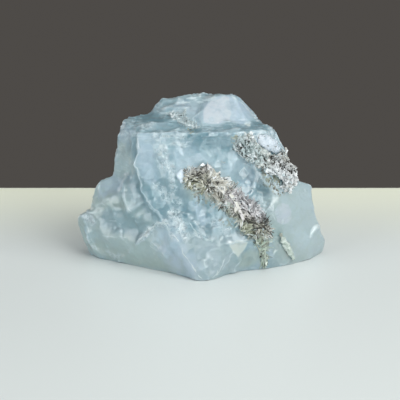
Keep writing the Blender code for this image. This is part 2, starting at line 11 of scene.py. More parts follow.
import bmesh
import bpy
import numpy as np
from mathutils import Matrix, Vector, noise
from mathutils.bvhtree import BVHTree


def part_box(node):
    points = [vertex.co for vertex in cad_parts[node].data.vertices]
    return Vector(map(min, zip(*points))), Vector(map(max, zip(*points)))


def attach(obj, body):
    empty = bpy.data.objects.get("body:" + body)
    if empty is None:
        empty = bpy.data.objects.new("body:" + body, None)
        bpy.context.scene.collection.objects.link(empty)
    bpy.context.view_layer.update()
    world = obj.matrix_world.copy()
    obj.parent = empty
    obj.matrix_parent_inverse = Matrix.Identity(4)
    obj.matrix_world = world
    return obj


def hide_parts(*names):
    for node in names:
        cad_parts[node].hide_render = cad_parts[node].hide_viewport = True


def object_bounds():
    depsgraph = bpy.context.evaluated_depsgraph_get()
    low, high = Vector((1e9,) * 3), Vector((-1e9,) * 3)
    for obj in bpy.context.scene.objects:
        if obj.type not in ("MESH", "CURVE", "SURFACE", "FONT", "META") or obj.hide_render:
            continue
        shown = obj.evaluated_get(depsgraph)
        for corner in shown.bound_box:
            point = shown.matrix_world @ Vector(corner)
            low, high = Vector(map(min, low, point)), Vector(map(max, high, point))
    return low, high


MM = 0.001
SEED = 17

EYE_TILT = math.radians(18)
EYE_DISTANCE = 270 * MM
EYE_TARGET = (-0.24 * MM, 0.0, 14 * MM)
LENS = 100
SENSOR = 36
DRAWING = 400

FLOOR_SIZE = (1.6, 1.0, 0.03)
FLOOR_END = 58 * MM  # how far it runs behind the stone's middle
FLOOR_ROUNDING = 0.004
FLOOR_TINTS = {"body": (0.59, 0.64, 0.64), "rear": (0.74, 0.78, 0.66)}
BACKDROP = (0.076, 0.070, 0.064)
LAMP_TARGET = (0.0, 0.0, 0.015)
# Each lamp: its place, its size, its power in watts and its colour.
LAMPS = {
    "soft_front": ((0.40, -0.34, 0.40), (0.5, 0.5), 4.35, (1.0, 0.995, 0.98)),
    "soft_top": ((0.05, 0.05, 0.55), (0.6, 0.5), 1.4, (1.0, 0.99, 0.97)),
    "soft_rear": ((-0.50, 0.40, 0.13), (0.4, 0.2), 0.55, (0.98, 0.99, 1.0)),
    "soft_behind": ((0.50, 0.42, 0.14), (0.4, 0.2), 0.55, (0.98, 0.99, 1.0)),
    "soft_left": ((-0.50, -0.34, 0.18), (0.4, 0.4), 2.15, (0.97, 0.99, 1.0)),
    "soft_low": ((0.10, -0.62, 0.12), (0.6, 0.2), 1.2, (0.97, 0.99, 1.0)),
}

# Lengths on the pieces are in millimetres.
STONE_STEP = 0.3  # between the points of the stone's skin
CORE_STEP = 0.2  # between those of the body of a mica crust
SHELL_SIZE = 4.2  # of the tilted hollows of the smooth breaks
SHELL_HOLLOW = 0.55
SHELL_TILT = 0.9
SHELL_RELIEF = (0.30, 0.15)  # how far these hollows lift the skin, and what full frost adds to that
CHIP_SIZE = 1.3  # of the flat chips of the rough breaks
CHIP_RELIEF = (0.14, 0.6)
GRAIN_RELIEF = 0.04
STAIR_RELIEF = 0.2
STAIR_RUN = (0.45, 1.3)  # stairs per millimetre towards the back, and upwards
STAIR_WAVE = 0.35
LEDGE_FOOT = (30.0, 32.5)  # between these heights the stairs round the ledge begin
LEDGE_TOP = (35.0, 33.8)  # and between these they end
BASE_CALM = 0.6  # how far above the base the relief reaches its full height
VEIL_CALM = 0.8  # the share of the relief that a veil takes away
REAR_FROST = 0.35  # how rough the back is, as a share of full frost
REAR = (-0.3, 0.5)  # the back begins between these, as the skin turns away
BULGE = (0.03, 0.30)  # how far a point stands out where the lighter rim, a painted highlight on ridges, begins, and where it is full
BULGE_TURNS = 14
WORN_TURNS = 25
BERYL_IOR = 1.57
BERYL_TINT = (0.50, 0.78, 0.85)
BERYL_DENSITY = 25.0
MICA_IOR = 1.58

# How the marks on the drawing stray from their lines: over what size, and how many steps far.
EDGE_SWAY = (1.8, 1.6)
THREAD_SWAY = (0.7, 0.8)
PANE_SWAY = (1.2, 0.9)
MARK_SWAYS = ((2.2, 3.0), (0.8, 2.0))
FULL_SWAY = 0.5  # a mark whose rim is this soft or softer strays all the way
THREAD_REACH = 3.0  # how far round a light thread its masks reach, in steps
THREAD_PATCH = 1.5  # the size of the patches that a light thread comes and goes in
THREAD_GAPS = (-0.45, 0.1)  # it comes in between these, as the patches' noise rises
PANE_REACH = 2.5  # how far from the rim of a flat break its mask levels off
SEEN = (-0.35, -0.05)  # the marks fade in between these, as the skin turns to the eye


def on_drawing(points):
    """Where points in space show on the drawing of the stone's front, in steps across and down."""
    offset = points - np.array(EYE_TARGET)
    up = offset[:, 1] * math.sin(EYE_TILT) + offset[:, 2] * math.cos(EYE_TILT)
    depth = EYE_DISTANCE + offset[:, 1] * math.cos(EYE_TILT) - offset[:, 2] * math.sin(EYE_TILT)
    scale = LENS / SENSOR * DRAWING
    return np.stack([DRAWING / 2 + offset[:, 0] / depth * scale, DRAWING / 2 - up / depth * scale], axis=1)


# ---------------------------------------------------------------- camera, floor and light


def in_scene(name, data):
    made = bpy.data.objects.new(name, data)
    bpy.context.scene.collection.objects.link(made)
    return made


def place_camera():
    camera = bpy.data.cameras.new("camera")
    camera.lens = LENS
    camera.sensor_width = SENSOR
    camera.clip_start = 0.01
    camera.clip_end = 20.0
    eye = in_scene("camera", camera)
    back = Vector((0.0, -math.cos(EYE_TILT), math.sin(EYE_TILT)))
    eye.location = Vector(EYE_TARGET) + back * EYE_DISTANCE
    eye.rotation_euler = (-back).to_track_quat("-Z", "Y").to_euler()
    bpy.context.scene.camera = eye


def place_floor():
    bm = bmesh.new()
    bmesh.ops.create_cube(bm, size=1.0)
    bmesh.ops.scale(bm, verts=bm.verts, vec=FLOOR_SIZE)
    middle = (0.0, FLOOR_END - FLOOR_SIZE[1] / 2, -FLOOR_SIZE[2] / 2)
    bmesh.ops.translate(bm, verts=bm.verts, vec=middle)
    bmesh.ops.bevel(
        bm, geom=bm.edges[:], offset=FLOOR_ROUNDING, segments=4, affect="EDGES", profile=0.5, material=-1
    )
    floor = finished("floor", bm)
    floor.data.materials.append(floor_finish())


def place_lamp(name, at, size, power, colour):
    lamp = bpy.data.lights.new(name, "AREA")
    lamp.shape = "RECTANGLE"
    lamp.size, lamp.size_y = size
    lamp.energy = power
    lamp.color = colour
    holder = in_scene(name, lamp)
    holder.location = at
    aim = Vector(LAMP_TARGET) - Vector(at)
    holder.rotation_euler = aim.to_track_quat("-Z", "Y").to_euler()


def light_room():
    world = bpy.data.worlds.new("room")
    world.use_nodes = True
    background = world.node_tree.nodes["Background"]
    background.inputs["Color"].default_value = (*BACKDROP, 1.0)
    background.inputs["Strength"].default_value = 1.0
    bpy.context.scene.world = world
    for name, lamp in LAMPS.items():
        place_lamp(name, *lamp)
    bpy.context.scene.view_settings.view_transform = "Standard"


# ---------------------------------------------------------------- meshes


def finished(name, bm):
    mesh = bpy.data.meshes.new(name)
    bm.to_mesh(mesh)
    bm.free()
    return in_scene(name, mesh)


def bake(made):
    """Applies the object's modifiers to its mesh."""
    depsgraph = bpy.context.evaluated_depsgraph_get()
    baked = bpy.data.meshes.new_from_object(made.evaluated_get(depsgraph), depsgraph=depsgraph)
    made.modifiers.clear()
    spent = made.data
    made.data = baked
    bpy.data.meshes.remove(spent)


def fine_copy(node, name, step):
    """A copy of a CAD node's mesh with an even skin of small faces."""
    bm = bmesh.new()
    bm.from_mesh(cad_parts[node].data)
    bmesh.ops.remove_doubles(bm, verts=bm.verts, dist=0.001 * MM)
    made = finished(name, bm)
    made.data.materials.clear()
    remesh = made.modifiers.new("even", "REMESH")
    remesh.mode = "VOXEL"
    remesh.voxel_size = step * MM
    bake(made)
    return made


def listed(items, name, width, kind=np.float32):
    found = np.empty(len(items) * width, kind)
    items.foreach_get(name, found)
    return found.reshape(-1, width)


def points_of(mesh):
    return listed(mesh.vertices, "co", 3).astype(float)


def normals_of(mesh):
    return listed(mesh.vertices, "normal", 3).astype(float)


def edges_of(mesh):
    return listed(mesh.edges, "vertices", 2, np.int32)


def move_points(mesh, points):
    mesh.vertices.foreach_set("co", points.astype(np.float32).ravel())
    mesh.update()


def in_box(points, corners):
    low, high = np.array(corners)
    return np.clip(points, low, high)


def relaxed(values, edges, turns, share=0.5):
    """Values on the points, each drawn towards the mean of its neighbours that many times."""
    flat = values.reshape(len(values), -1).copy()
    ends = np.concatenate([edges[:, 0], edges[:, 1]])
    others = np.concatenate([edges[:, 1], edges[:, 0]])
    count = np.maximum(np.bincount(ends, minlength=len(flat)), 1)
    for turn in range(turns):
        for column in range(flat.shape[1]):
            total = np.bincount(ends, weights=flat[others, column], minlength=len(flat))
            flat[:, column] += (total / count - flat[:, column]) * share
    return flat.reshape(values.shape)


def keep_mask(mesh, name, values, domain="POINT"):
    layer = mesh.attributes.new(name, "FLOAT", domain)
    layer.data.foreach_set("value", np.clip(values, 0.0, 1.0).astype(np.float32))


def soft_step(low, high, values):
    share = np.clip((values - low) / (high - low), 0.0, 1.0)
    return share * share * (3 - 2 * share)


# ---------------------------------------------------------------- marks on the stone's front

# Each mark: its strength, its reach in steps, how soft its rim is, and the line that it follows. Veils are
# milky. Clear and shaded parts are clear, with their dark painted as shade, as is the dark of grooves. Frost
# is splintered and white, streaks are fine white threads, glints are painted highlights, and the skin is
# smooth where it is worn.
MARKS = {
    "veil": [
        (0.8, 14, 0.6, [(166, 238), (178, 256), (190, 268)]),
        (0.9, 12, 0.35, [(213, 113), (226, 106), (240, 113)]),
        (0.7, 7, 0.3, [(234, 104), (246, 114)]),
        (0.45, 6, 0.6, [(180, 106), (192, 110), (200, 120)]),
        (0.5, 8, 0.3, [(147, 140), (146, 160), (150, 176)]),
        (0.3, 12, 0.5, [(178, 160), (190, 154)]),
        (0.3, 6, 0.5, [(130, 186), (132, 196), (133, 205)]),
        (0.7, 9, 0.6, [(104, 190), (114, 186)]),
        (0.3, 18, 0.5, [(206, 254), (214, 266)]),
        (0.6, 22, 0.5, [(296, 200), (306, 222), (308, 240)]),
        (0.9, 5, 0.5, [(258, 138), (270, 138), (284, 150)]),
        (0.4, 6, 0.5, [(272, 194), (276, 198)]),
        (0.5, 5, 0.6, [(293, 188), (299, 191)]),
        (0.4, 3, 0.5, [(270, 246), (271, 255)]),
        (0.6, 6, 0.6, [(126, 131), (126, 137)]),
        (0.3, 9, 0.6, [(124, 136), (124, 160), (122, 174)]),
        (0.2, 14, 0.6, [(100, 214), (116, 236), (150, 246)]),
        (0.35, 12, 0.6, [(242, 168), (244, 184)]),
        (0.5, 5, 0.6, [(196, 206), (204, 222)]),
    ],
    "deep": [
        (0.8, 2.4, 0.5, [(139, 131), (163, 127.5), (181, 126.5), (200, 130)]),
        (0.6, 3.0, 0.5, [(146, 118), (162, 117)]),
        (0.8, 4, 0.5, [(200, 131), (225, 128), (262, 127)]),
        (1.0, 9, 0.5, [(190, 140), (208, 140), (228, 141)]),
        (0.7, 3, 0.35, [(134.5, 136), (134, 158), (132, 166), (137, 180), (140, 190)]),
        (0.7, 12, 0.4, [(112, 220), (128, 222), (138, 228)]),
        (0.5, 9, 0.6, [(204, 212), (206, 222)]),
        (0.1, 9, 0.6, [(240, 166), (250, 180)]),
        (0.9, 7, 0.6, [(122, 126), (132, 121), (152, 120), (168, 122), (184, 124)]),
        (0.7, 5, 0.6, [(200, 136), (216, 136), (232, 134)]),
        (0.8, 20, 0.5, [(150, 190), (160, 200), (176, 210)]),
        (0.9, 12, 0.6, [(180, 214), (200, 224)]),
        (0.8, 6, 0.5, [(204, 136), (216, 138), (230, 138)]),
        (0.6, 5, 0.5, [(260, 188), (266, 192)]),
        (0.25, 14, 0.6, [(172, 190), (184, 204)]),
        (0.5, 3, 0.5, [(206, 113), (198, 105), (188, 101)]),
    ],
    "frost": [
        (0.8, 6, 0.4, [(269, 173), (273, 182), (279, 189)]),
        (0.72, 4, 0.6, [(162, 146), (163, 156), (166, 168)]),
        (0.8, 4, 0.6, [(176, 116), (186, 122)]),
        (0.7, 3, 0.6, [(172, 164), (172, 178), (173, 192)]),
        (0.6, 4, 0.6, [(158, 186), (166, 196), (178, 202)]),
        (1.0, 5, 0.6, [(174, 212), (178, 220), (182, 230)]),
        (0.7, 2.4, 0.5, [(169, 224), (174, 238)]),
        (1.0, 3, 0.5, [(138, 241), (147, 234), (153, 226), (166, 223)]),
        (0.9, 2.0, 0.6, [(195, 232), (203, 237), (211, 239)]),
        (0.35, 2.5, 0.6, [(128, 124), (140, 124), (152, 125)]),
        (0.5, 3.5, 0.6, [(123, 130), (125, 138)]),
        (0.7, 3, 0.7, [(152, 136), (168, 135), (183, 137)]),
        (0.6, 2, 0.6, [(172, 145), (185, 145)]),
        (0.9, 4, 0.6, [(88, 218), (93, 221)]),
        (0.6, 5, 0.7, [(216, 222), (226, 230)]),
        (0.5, 5, 0.7, [(258, 200), (268, 206), (274, 212)]),
        (0.5, 3, 0.6, [(256, 168), (258, 178), (265, 184)]),
        (0.5, 2, 0.6, [(109, 252), (119, 257)]),
        (0.7, 3, 0.6, [(256, 137), (268, 134), (276, 142), (285, 149)]),
        (0.8, 3, 0.6, [(176, 226), (184, 232), (186, 240)]),
    ],
    "cream": [
        (0.6, 2.0, 0.5, [(262, 246), (263, 266)]),
        (0.35, 5, 0.6, [(188, 184), (192, 194)]),
        (0.22, 24, 0.4, [(292, 196), (306, 216), (306, 240)]),
    ],
    "moss": [
        (1.0, 8, 0.3, [(269, 172), (273, 182), (279, 189)]),
        (0.8, 5, 0.5, [(283, 240), (288, 254)]),
        (0.9, 10, 0.6, [(100, 246), (128, 254), (160, 262), (176, 266)]),
        (0.4, 26, 0.4, [(200, 256), (214, 262)]),
        (0.7, 30, 0.4, [(290, 214), (300, 240)]),
        (0.9, 22, 0.5, [(100, 200), (112, 222), (146, 244)]),
        (0.7, 8, 0.6, [(123, 150), (122, 172)]),
        (0.7, 4, 0.5, [(80, 222), (84, 234), (90, 246)]),
        (0.9, 16, 0.7, [(110, 206), (130, 222)]),
        (0.7, 8, 0.5, [(130, 190), (134, 204)]),
        (0.8, 7, 0.5, [(244, 260), (254, 256)]),
    ],
    "streak": [
        (0.5, 3.0, 0.5, [(128, 124), (152, 125)]),
        (0.6, 2.5, 0.6, [(140, 133), (160, 132), (186, 133)]),
        (0.6, 5, 0.6, [(150, 139), (166, 141), (184, 144)]),
        (0.3, 4, 0.6, [(200, 130), (230, 128), (262, 124)]),
        (0.5, 4, 0.6, [(172, 118), (160, 112), (158, 104)]),
        (0.7, 7, 0.6, [(172, 101), (190, 99), (206, 98)]),
        (0.6, 3, 0.6, [(164, 110), (178, 110), (190, 108)]),
        (0.4, 6, 0.6, [(121, 150), (123, 176)]),
    ],
    # Glints are painted highlights.
    "glint": [
        (1.0, 1.3, 0.4, [(245.5, 122.8), (246, 123)]),
        (1.0, 1.7, 0.4, [(174.3, 115.5), (173.8, 120)]),
        (1.0, 1.2, 0.4, [(248, 124.5), (248.4, 124.8)]),
        (0.9, 1.1, 0.5, [(211, 98.5), (213, 98.5)]),
        (0.8, 1.2, 0.5, [(162, 153), (163, 158)]),
        (0.7, 1.0, 0.5, [(160, 146), (162, 147)]),
        (0.7, 1.1, 0.5, [(123, 131), (127, 134)]),
        (0.8, 0.8, 0.5, [(205, 240), (211, 241)]),
        (0.8, 1.0, 0.5, [(196, 231), (199, 234)]),
        (0.7, 0.9, 0.5, [(131, 124), (134, 123.5)]),
        (0.6, 0.9, 0.5, [(143, 125), (147, 125.5)]),
        (0.7, 0.8, 0.5, [(182, 226), (186, 232)]),
        (0.6, 0.8, 0.5, [(92, 219), (94, 221)]),
        (0.9, 0.9, 0.5, [(218.5, 271), (219.5, 273)]),
        (0.8, 0.8, 0.5, [(146, 232), (148, 236)]),
        (0.8, 0.8, 0.5, [(226, 180), (228, 180.5)]),
    ],
    "worn": [
        (1.0, 8, 0.5, [(207, 95), (200, 108), (195, 122)]),
        (0.5, 9, 0.5, [(124, 190), (130, 206)]),
    ],
    "speck": [
        (0.9, 5, 0.6, [(236, 139), (246, 148), (256, 158)]),
        (0.9, 3.5, 0.6, [(188, 127), (193, 131)]),
        (0.5, 3, 0.6, [(262, 180), (266, 186)]),
        (0.8, 4, 0.6, [(196, 192), (200, 200), (210, 206)]),
        (0.6, 3, 0.6, [(220, 218), (232, 226)]),
        (0.5, 3, 0.7, [(236, 228), (250, 238)]),
        (0.6, 4, 0.6, [(262, 150), (270, 160)]),
        (1.0, 7, 0.3, [(269, 172), (273, 182), (279, 189)]),
    ],
}

# Each edge: its height, its reach to the left and to the right as it runs, in steps, and its line.
EDGES = [
    (0.35, 14, 18, [(168, 224), (174, 238), (181, 254), (188, 264), (196, 273), (201, 279)]),
    (0.35, 14, 3, [
        (138, 133), (138, 152), (134.6, 164), (141, 180), (142, 190), (147, 202), (153, 207), (163, 219),
    ]),
    (-0.3, 4, 7, [(136, 134), (135, 152), (131, 164), (137, 182)]),
    (0.2, 9, 9, [(84, 215), (85, 222), (88, 232), (92, 243), (100, 256)]),
    (0.25, 10, 12, [(92, 236), (113, 237), (122, 239), (136, 242)]),
    (0.15, 8, 3, [(123, 182), (124, 195), (125.5, 205), (129, 211.5), (134, 211.5), (142, 206)]),
    (0.25, 5, 6, [(138, 242), (147, 233.5), (153, 225.5), (159, 223), (167, 223)]),
    (0.2, 14, 5, [(212, 97), (204, 108), (200, 116), (201, 124)]),
    (0.2, 14, 8, [(234, 98), (238, 108), (245, 117)]),
    (0.3, 6, 4, [(166, 109.5), (177, 109.5), (187, 108.5)]),
    (-0.4, 3, 4, [(139, 131.5), (163, 127.5), (181, 126.5), (201, 130)]),
    (0.3, 2, 9, [(248, 242), (238, 240.5), (229, 243)]),
    (0.35, 10, 10, [(248, 242), (238, 256), (234, 268), (232, 272)]),
    (0.3, 5, 7, [(229, 243), (233, 252), (238, 257)]),
    (0.2, 4, 4, [(147, 235), (153, 244.5), (161, 250), (166, 255)]),
    (0.35, 3, 6, [(237, 192.5), (243, 196.5), (250, 194.5), (252.5, 188)]),
    (0.35, 4, 5, [(238, 190), (245, 187), (252, 187)]),
    (0.3, 3, 4, [(243, 167), (240, 174), (243, 178), (247, 174), (243, 167)]),
    (0.35, 2.5, 4, [(255, 167), (259, 175), (257, 182), (252, 187)]),
    (0.4, 3, 3, [(260, 174), (266, 184)]),
    (-0.5, 5, 5, [(258, 192), (268, 194)]),
    (0.4, 3, 3, [(317, 227), (311, 237)]),
    (0.3, 6, 8, [(160, 141), (162, 156), (168, 172), (172, 190)]),
    (0.25, 8, 8, [(175, 150), (178, 166), (186, 176)]),
    (-0.5, 9, 9, [(206, 208), (206, 226)]),
    (0.3, 4, 4, [(196, 230), (204, 237), (212, 240)]),
    (0.3, 8, 5, [(96, 206), (104, 201), (112, 206), (114, 216)]),
    (-0.3, 8, 8, [(104, 222), (120, 226), (136, 230)]),
    (0.3, 8, 8, [(150, 262), (162, 254), (172, 242)]),
]

# Light threads along sharp edges and thin cracks, painted highlights on the edges and white on the cracks:
# how bright each is, and its line.
THREADS = [
    (1.0, [(165, 222), (170, 232), (178, 240), (184, 254), (192, 266), (201, 278)]),
    (0.7, [(138, 133), (138, 152), (134.6, 164), (141, 180), (142, 190)]),
    (0.5, [(142, 190), (147, 202), (153, 207), (166, 221)]),
    (0.5, [(84, 216), (87, 226), (92, 240), (97, 250)]),
    (0.5, [(123, 184), (124, 196), (126, 206), (130, 211)]),
    (1.0, [(138, 242), (144, 236), (150, 228), (158, 223), (167, 222)]),
    (0.4, [(204, 100), (199, 110), (199, 120)]),
    (0.8, [(232, 244), (240, 240.5), (248, 240)]),
    (0.8, [(240, 262), (236, 266), (235, 271)]),
    (0.5, [(233, 252), (229, 260), (222, 270)]),
    (0.8, [(196, 236), (203, 238), (211, 241)]),
    (0.7, [(190, 224), (197, 233), (204, 236)]),
    (0.7, [(244, 167), (240, 174), (243, 179), (248, 174), (244, 167)]),
    (0.9, [(255, 167), (259, 175), (257, 182), (252, 188)]),
    (0.8, [(259, 172), (263, 180), (268, 186)]),
    (0.6, [(243, 163), (250, 167)]),
    (0.9, [(237, 192), (243, 196.5), (250, 194.5), (252.5, 188), (243, 188), (237, 192)]),
    (0.7, [(274, 206), (273, 213), (276, 220)]),
    (1.0, [(317, 227), (312, 232), (310, 237)]),
    (0.6, [(160, 141), (161, 150), (165, 160), (169, 172)]),
    (0.6, [(152, 146), (156, 156), (160, 168)]),
    (0.5, [(172, 160), (173, 176), (176, 186)]),
    (0.6, [(154, 184), (158, 190), (164, 193)]),
    (0.4, [(96, 206), (102, 202), (108, 206)]),
    (0.5, [(110, 222), (116, 220), (120, 224)]),
    (0.4, [(104, 236), (116, 237), (126, 238)]),
    (0.5, [(108, 252), (118, 257)]),
    (0.4, [(150, 246), (158, 252), (166, 258)]),
    (0.5, [(186, 226), (190, 236), (186, 242)]),
    (0.8, [(213, 277), (219, 272), (222, 266), (224, 260)]),
    (0.6, [(150, 240), (156, 246), (164, 256)]),
    (0.7, [(219, 161), (213, 165), (209, 170)]),
    (0.5, [(258, 244), (262, 252)]),
    (0.5, [(268, 238), (272, 232), (270, 226)]),
    (0.6, [(232, 96.5), (242, 103), (250, 112), (256, 119)]),
    (0.5, [(258, 127), (268, 129), (274, 136), (275, 144)]),
    (0.6, [(276, 150), (290, 163), (293, 176)]),
]

# Flat breaks with crisp rims: the corners of each outline, clockwise. No outline is hollow anywhere.
PANES = {
    "white_pane": [
        [(243.4, 169), (246.4, 175.6), (243, 177), (239.5, 174.7)],
        [(237.4, 191), (240.8, 188), (251, 187), (250.7, 190), (245, 196), (240, 194.4)],
        [(255.8, 169), (258.5, 173.5), (257.4, 178), (256, 175)],
        [(256.4, 176.5), (257.6, 178), (254, 184), (252.5, 185), (254.6, 180)],
        [(259.8, 174), (262.5, 176.5), (266, 183)],
    ],
    "pale_pane": [
        [
            (283, 203), (288, 205), (291, 210), (291, 217), (288, 223),
            (283, 224.6), (278, 222), (275.5, 216), (275.5, 210), (278, 205),
        ],
        [
            (203.3, 109.7), (211, 101.3), (226.7, 96.3), (235, 99),
            (231, 113.6), (232, 121), (218, 124), (204, 122.4),
        ],
    ],
    "cream_pane": [
        [(229, 243), (238, 240.4), (248, 242), (244.7, 248.7), (238, 257), (233, 252)],
    ],
}


def depth_in(outline, spots):
    """How far inside an outline each spot is, in steps: less than nothing outside it."""
    depth = np.full(len(spots), np.inf)
    for start, end in zip(outline, outline[1:] + outline[:1]):
        start, end = np.array(start, float), np.array(end, float)
        run = (end - start) / np.linalg.norm(end - start)
        gap = spots - start
        depth = np.minimum(depth, run[0] * gap[:, 1] - run[1] * gap[:, 0])
    return depth


def off_line(spots, line):
    """How far each spot is from a line, and on which side of it: 1 for its left, -1 for its right."""
    nearest = np.full(len(spots), np.inf)
    side = np.ones(len(spots))
    for start, end in zip(line, line[1:]):
        start, end = np.array(start, float), np.array(end, float)
        run = end - start
        share = np.clip(((spots - start) @ run) / (run @ run), 0.0, 1.0)
        gap = spots - start - share[:, None] * run
        distance = np.hypot(gap[:, 0], gap[:, 1])
        closer = distance < nearest
        nearest[closer] = distance[closer]
        side[closer] = np.where(run[1] * gap[closer, 0] > run[0] * gap[closer, 1], 1.0, -1.0)
    return nearest, side


def strength_of(marks, spots, stray=0.0):
    """How strongly marks colour each spot of the drawing. The softer a mark, the more it strays."""
    mask = np.zeros(len(spots))
    for strength, reach, softness, line in marks:
        nearest = off_line(spots + stray * min(1.0, softness / FULL_SWAY), line)[0]
        rim = (reach * (1 + softness), reach * (1 - softness))
        mask = np.maximum(mask, strength * soft_step(*rim, nearest))
    return mask


def seen_share(normals):
    """How far the drawing shows the skin at each point: 1 where it faces the eye, 0 behind."""
    return soft_step(*SEEN, -normals[:, 1] * math.cos(EYE_TILT) + normals[:, 2] * math.sin(EYE_TILT))


def wander(points, size):
    """A smooth random vector at each point, that changes over that many millimetres."""
    return np.array([noise.noise_vector(Vector(p) / (size * MM)) for p in points])


def sway(points, size, reach):
    """How far each point strays on the drawing, in steps."""
    return wander(points, size)[:, :2] * reach


def mark_masks(points, normals):
    """The strength of each kind of mark at each point, on the sides that the drawing shows."""
    spots = on_drawing(points)
    wide, narrow = MARK_SWAYS
    stray = sway(points, *wide) + sway(points, *narrow)
    seen = seen_share(normals)
    return {kind: strength_of(marks, spots, stray) * seen for kind, marks in MARKS.items()}


def pane_masks(points, normals):
    """For each kind of flat break: 0.5 on its rim, more inside it and less outside."""
    spots = on_drawing(points) + sway(points, *PANE_SWAY)
    hidden = (1.0 - seen_share(normals)) * PANE_REACH * 2
    masks = {}
    for kind, outlines in PANES.items():
        depth = np.max([depth_in(outline, spots) for outline in outlines], axis=0)
        masks[kind] = 0.5 + (depth - hidden) / PANE_REACH / 2
    return masks


def thread_masks(points, normals):
    """Where the light threads run: their strength, and how far across each the point is, from 0 to 1."""
    spots = on_drawing(points) + sway(points, *EDGE_SWAY) + sway(points, *THREAD_SWAY)
    strength = np.zeros(len(points))
    across = np.zeros(len(points))
    for bright, line in THREADS:
        nearest, side = off_line(spots, line)
        here = bright * soft_step(THREAD_REACH, THREAD_REACH / 2, nearest)
        across = np.where(here > strength, side * nearest / THREAD_REACH, across)
        strength = np.maximum(strength, here)
    patchy = soft_step(*THREAD_GAPS, wander(points, THREAD_PATCH)[:, 0])
    return strength * patchy * seen_share(normals), 0.5 + across / 2


def edge_lift(points, normals):
    """How far the ridges and grooves of the front raise each point."""
    spots = on_drawing(points) + sway(points, *EDGE_SWAY)
    lift = np.zeros(len(points))
    for height, left, right, line in EDGES:
        nearest, side = off_line(spots, line)
        lift += height * np.maximum(0.0, 1.0 - nearest / np.where(side > 0, left, right))
    return lift * seen_share(normals)


# ---------------------------------------------------------------- the stone


def chips(place, size, seed):
    """Flat chips that meet in sharp steps: how high a point lies on the chip that it is in."""
    at = place / size + Vector((seed, seed * 0.7, -seed))
    middle = noise.voronoi(at)[1][0]
    return (at - middle).dot(noise.noise_vector(middle * 31.7)) * size


def shells(place, size, seed):
    """Tilted hollows that meet in sharp ridges: how high a point lies above the lowest of them."""
    at = place / size + Vector((-seed, seed, seed * 0.3))
    lowest = 1.0
    for middle in noise.voronoi(at)[1]:
        offset = at - middle
        tilt = noise.noise_vector(middle * 17.3)
        lowest = min(lowest, offset.length_squared * SHELL_HOLLOW + offset.dot(tilt) * SHELL_TILT)
    return lowest * size


def stairs(place):
    """How far a point has come up the stair that it is on, from 0 to 1."""
    wave = STAIR_WAVE * noise.noise(place * 0.5)
    return (place.z * STAIR_RUN[1] + place.y * STAIR_RUN[0] + wave) % 1.0


def skin_lift(points, normals, masks):
    """How far the break lifts each point: shells where it is smooth, chips where it is frosted or behind."""
    places = [Vector(p) / MM for p in points]
    height = points[:, 2] / MM
    shell = np.array([shells(p, SHELL_SIZE, seed=3.0) for p in places])
    chip = np.array([chips(p, CHIP_SIZE, seed=9.0) for p in places])
    grain = np.array([noise.fractal(p * 1.6, 0.8, 2.0, 3) for p in places])
    stair = np.array([stairs(p) for p in places])
    ledge = soft_step(*LEDGE_FOOT, height) * soft_step(*LEDGE_TOP, height)
    frost = np.maximum(masks["frost"], soft_step(*REAR, normals[:, 1]) * REAR_FROST)
    calm = 1.0 - VEIL_CALM * np.maximum(masks["veil"], masks["cream"])
    lift = (shell - shell.mean()) * (SHELL_RELIEF[0] + SHELL_RELIEF[1] * frost) * calm
    lift += chip * (CHIP_RELIEF[0] + CHIP_RELIEF[1] * frost) * calm
    lift += grain * GRAIN_RELIEF
    lift += (0.5 - stair) * STAIR_RELIEF * ledge
    lift += edge_lift(points, normals)
    return lift * soft_step(0.0, BASE_CALM, height)


def broken_skin(made):
    """Gives the stone its break, and keeps the masks that its finish reads."""
    mesh = made.data
    edges = edges_of(mesh)
    points = relaxed(points_of(mesh), edges, turns=1)
    masks = mark_masks(points, normals_of(mesh))
    points += (relaxed(points, edges, WORN_TURNS) - points) * masks.pop("worn")[:, None]
    move_points(mesh, points)
    normals = relaxed(normals_of(mesh), edges, turns=6)
    normals /= np.linalg.norm(normals, axis=1)[:, None]
    points = points + normals * (skin_lift(points, normals, masks) * MM)[:, None]
    points = in_box(points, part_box("aquamarine_crystal"))
    move_points(mesh, points)
    bulge = ((points - relaxed(points, edges, BULGE_TURNS)) * normals).sum(axis=1) / MM
    # Lighter where a point stands out of its neighbours: a painted highlight on ridges.
    masks["rim"] = soft_step(*BULGE, bulge)
    # Darker where a point sinks below its neighbours: painted shade in hollows.
    masks["crease"] = soft_step(*BULGE, -bulge)
    masks["thread"], masks["across"] = thread_masks(points, normals)
    masks.update(pane_masks(points, normals))
    for kind, mask in masks.items():
        keep_mask(mesh, kind, mask)


def make_stone():
    stone = fine_copy("aquamarine_crystal", "aquamarine_stone", STONE_STEP)
    broken_skin(stone)
    stone.data.shade_smooth()
    stone.data.materials.append(stone_finish())
    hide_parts("aquamarine_crystal")
    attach(stone, "root")


# ---------------------------------------------------------------- finishes

# The scales of the patterns are per metre: at 1000, noise and chips are about a millimetre wide.

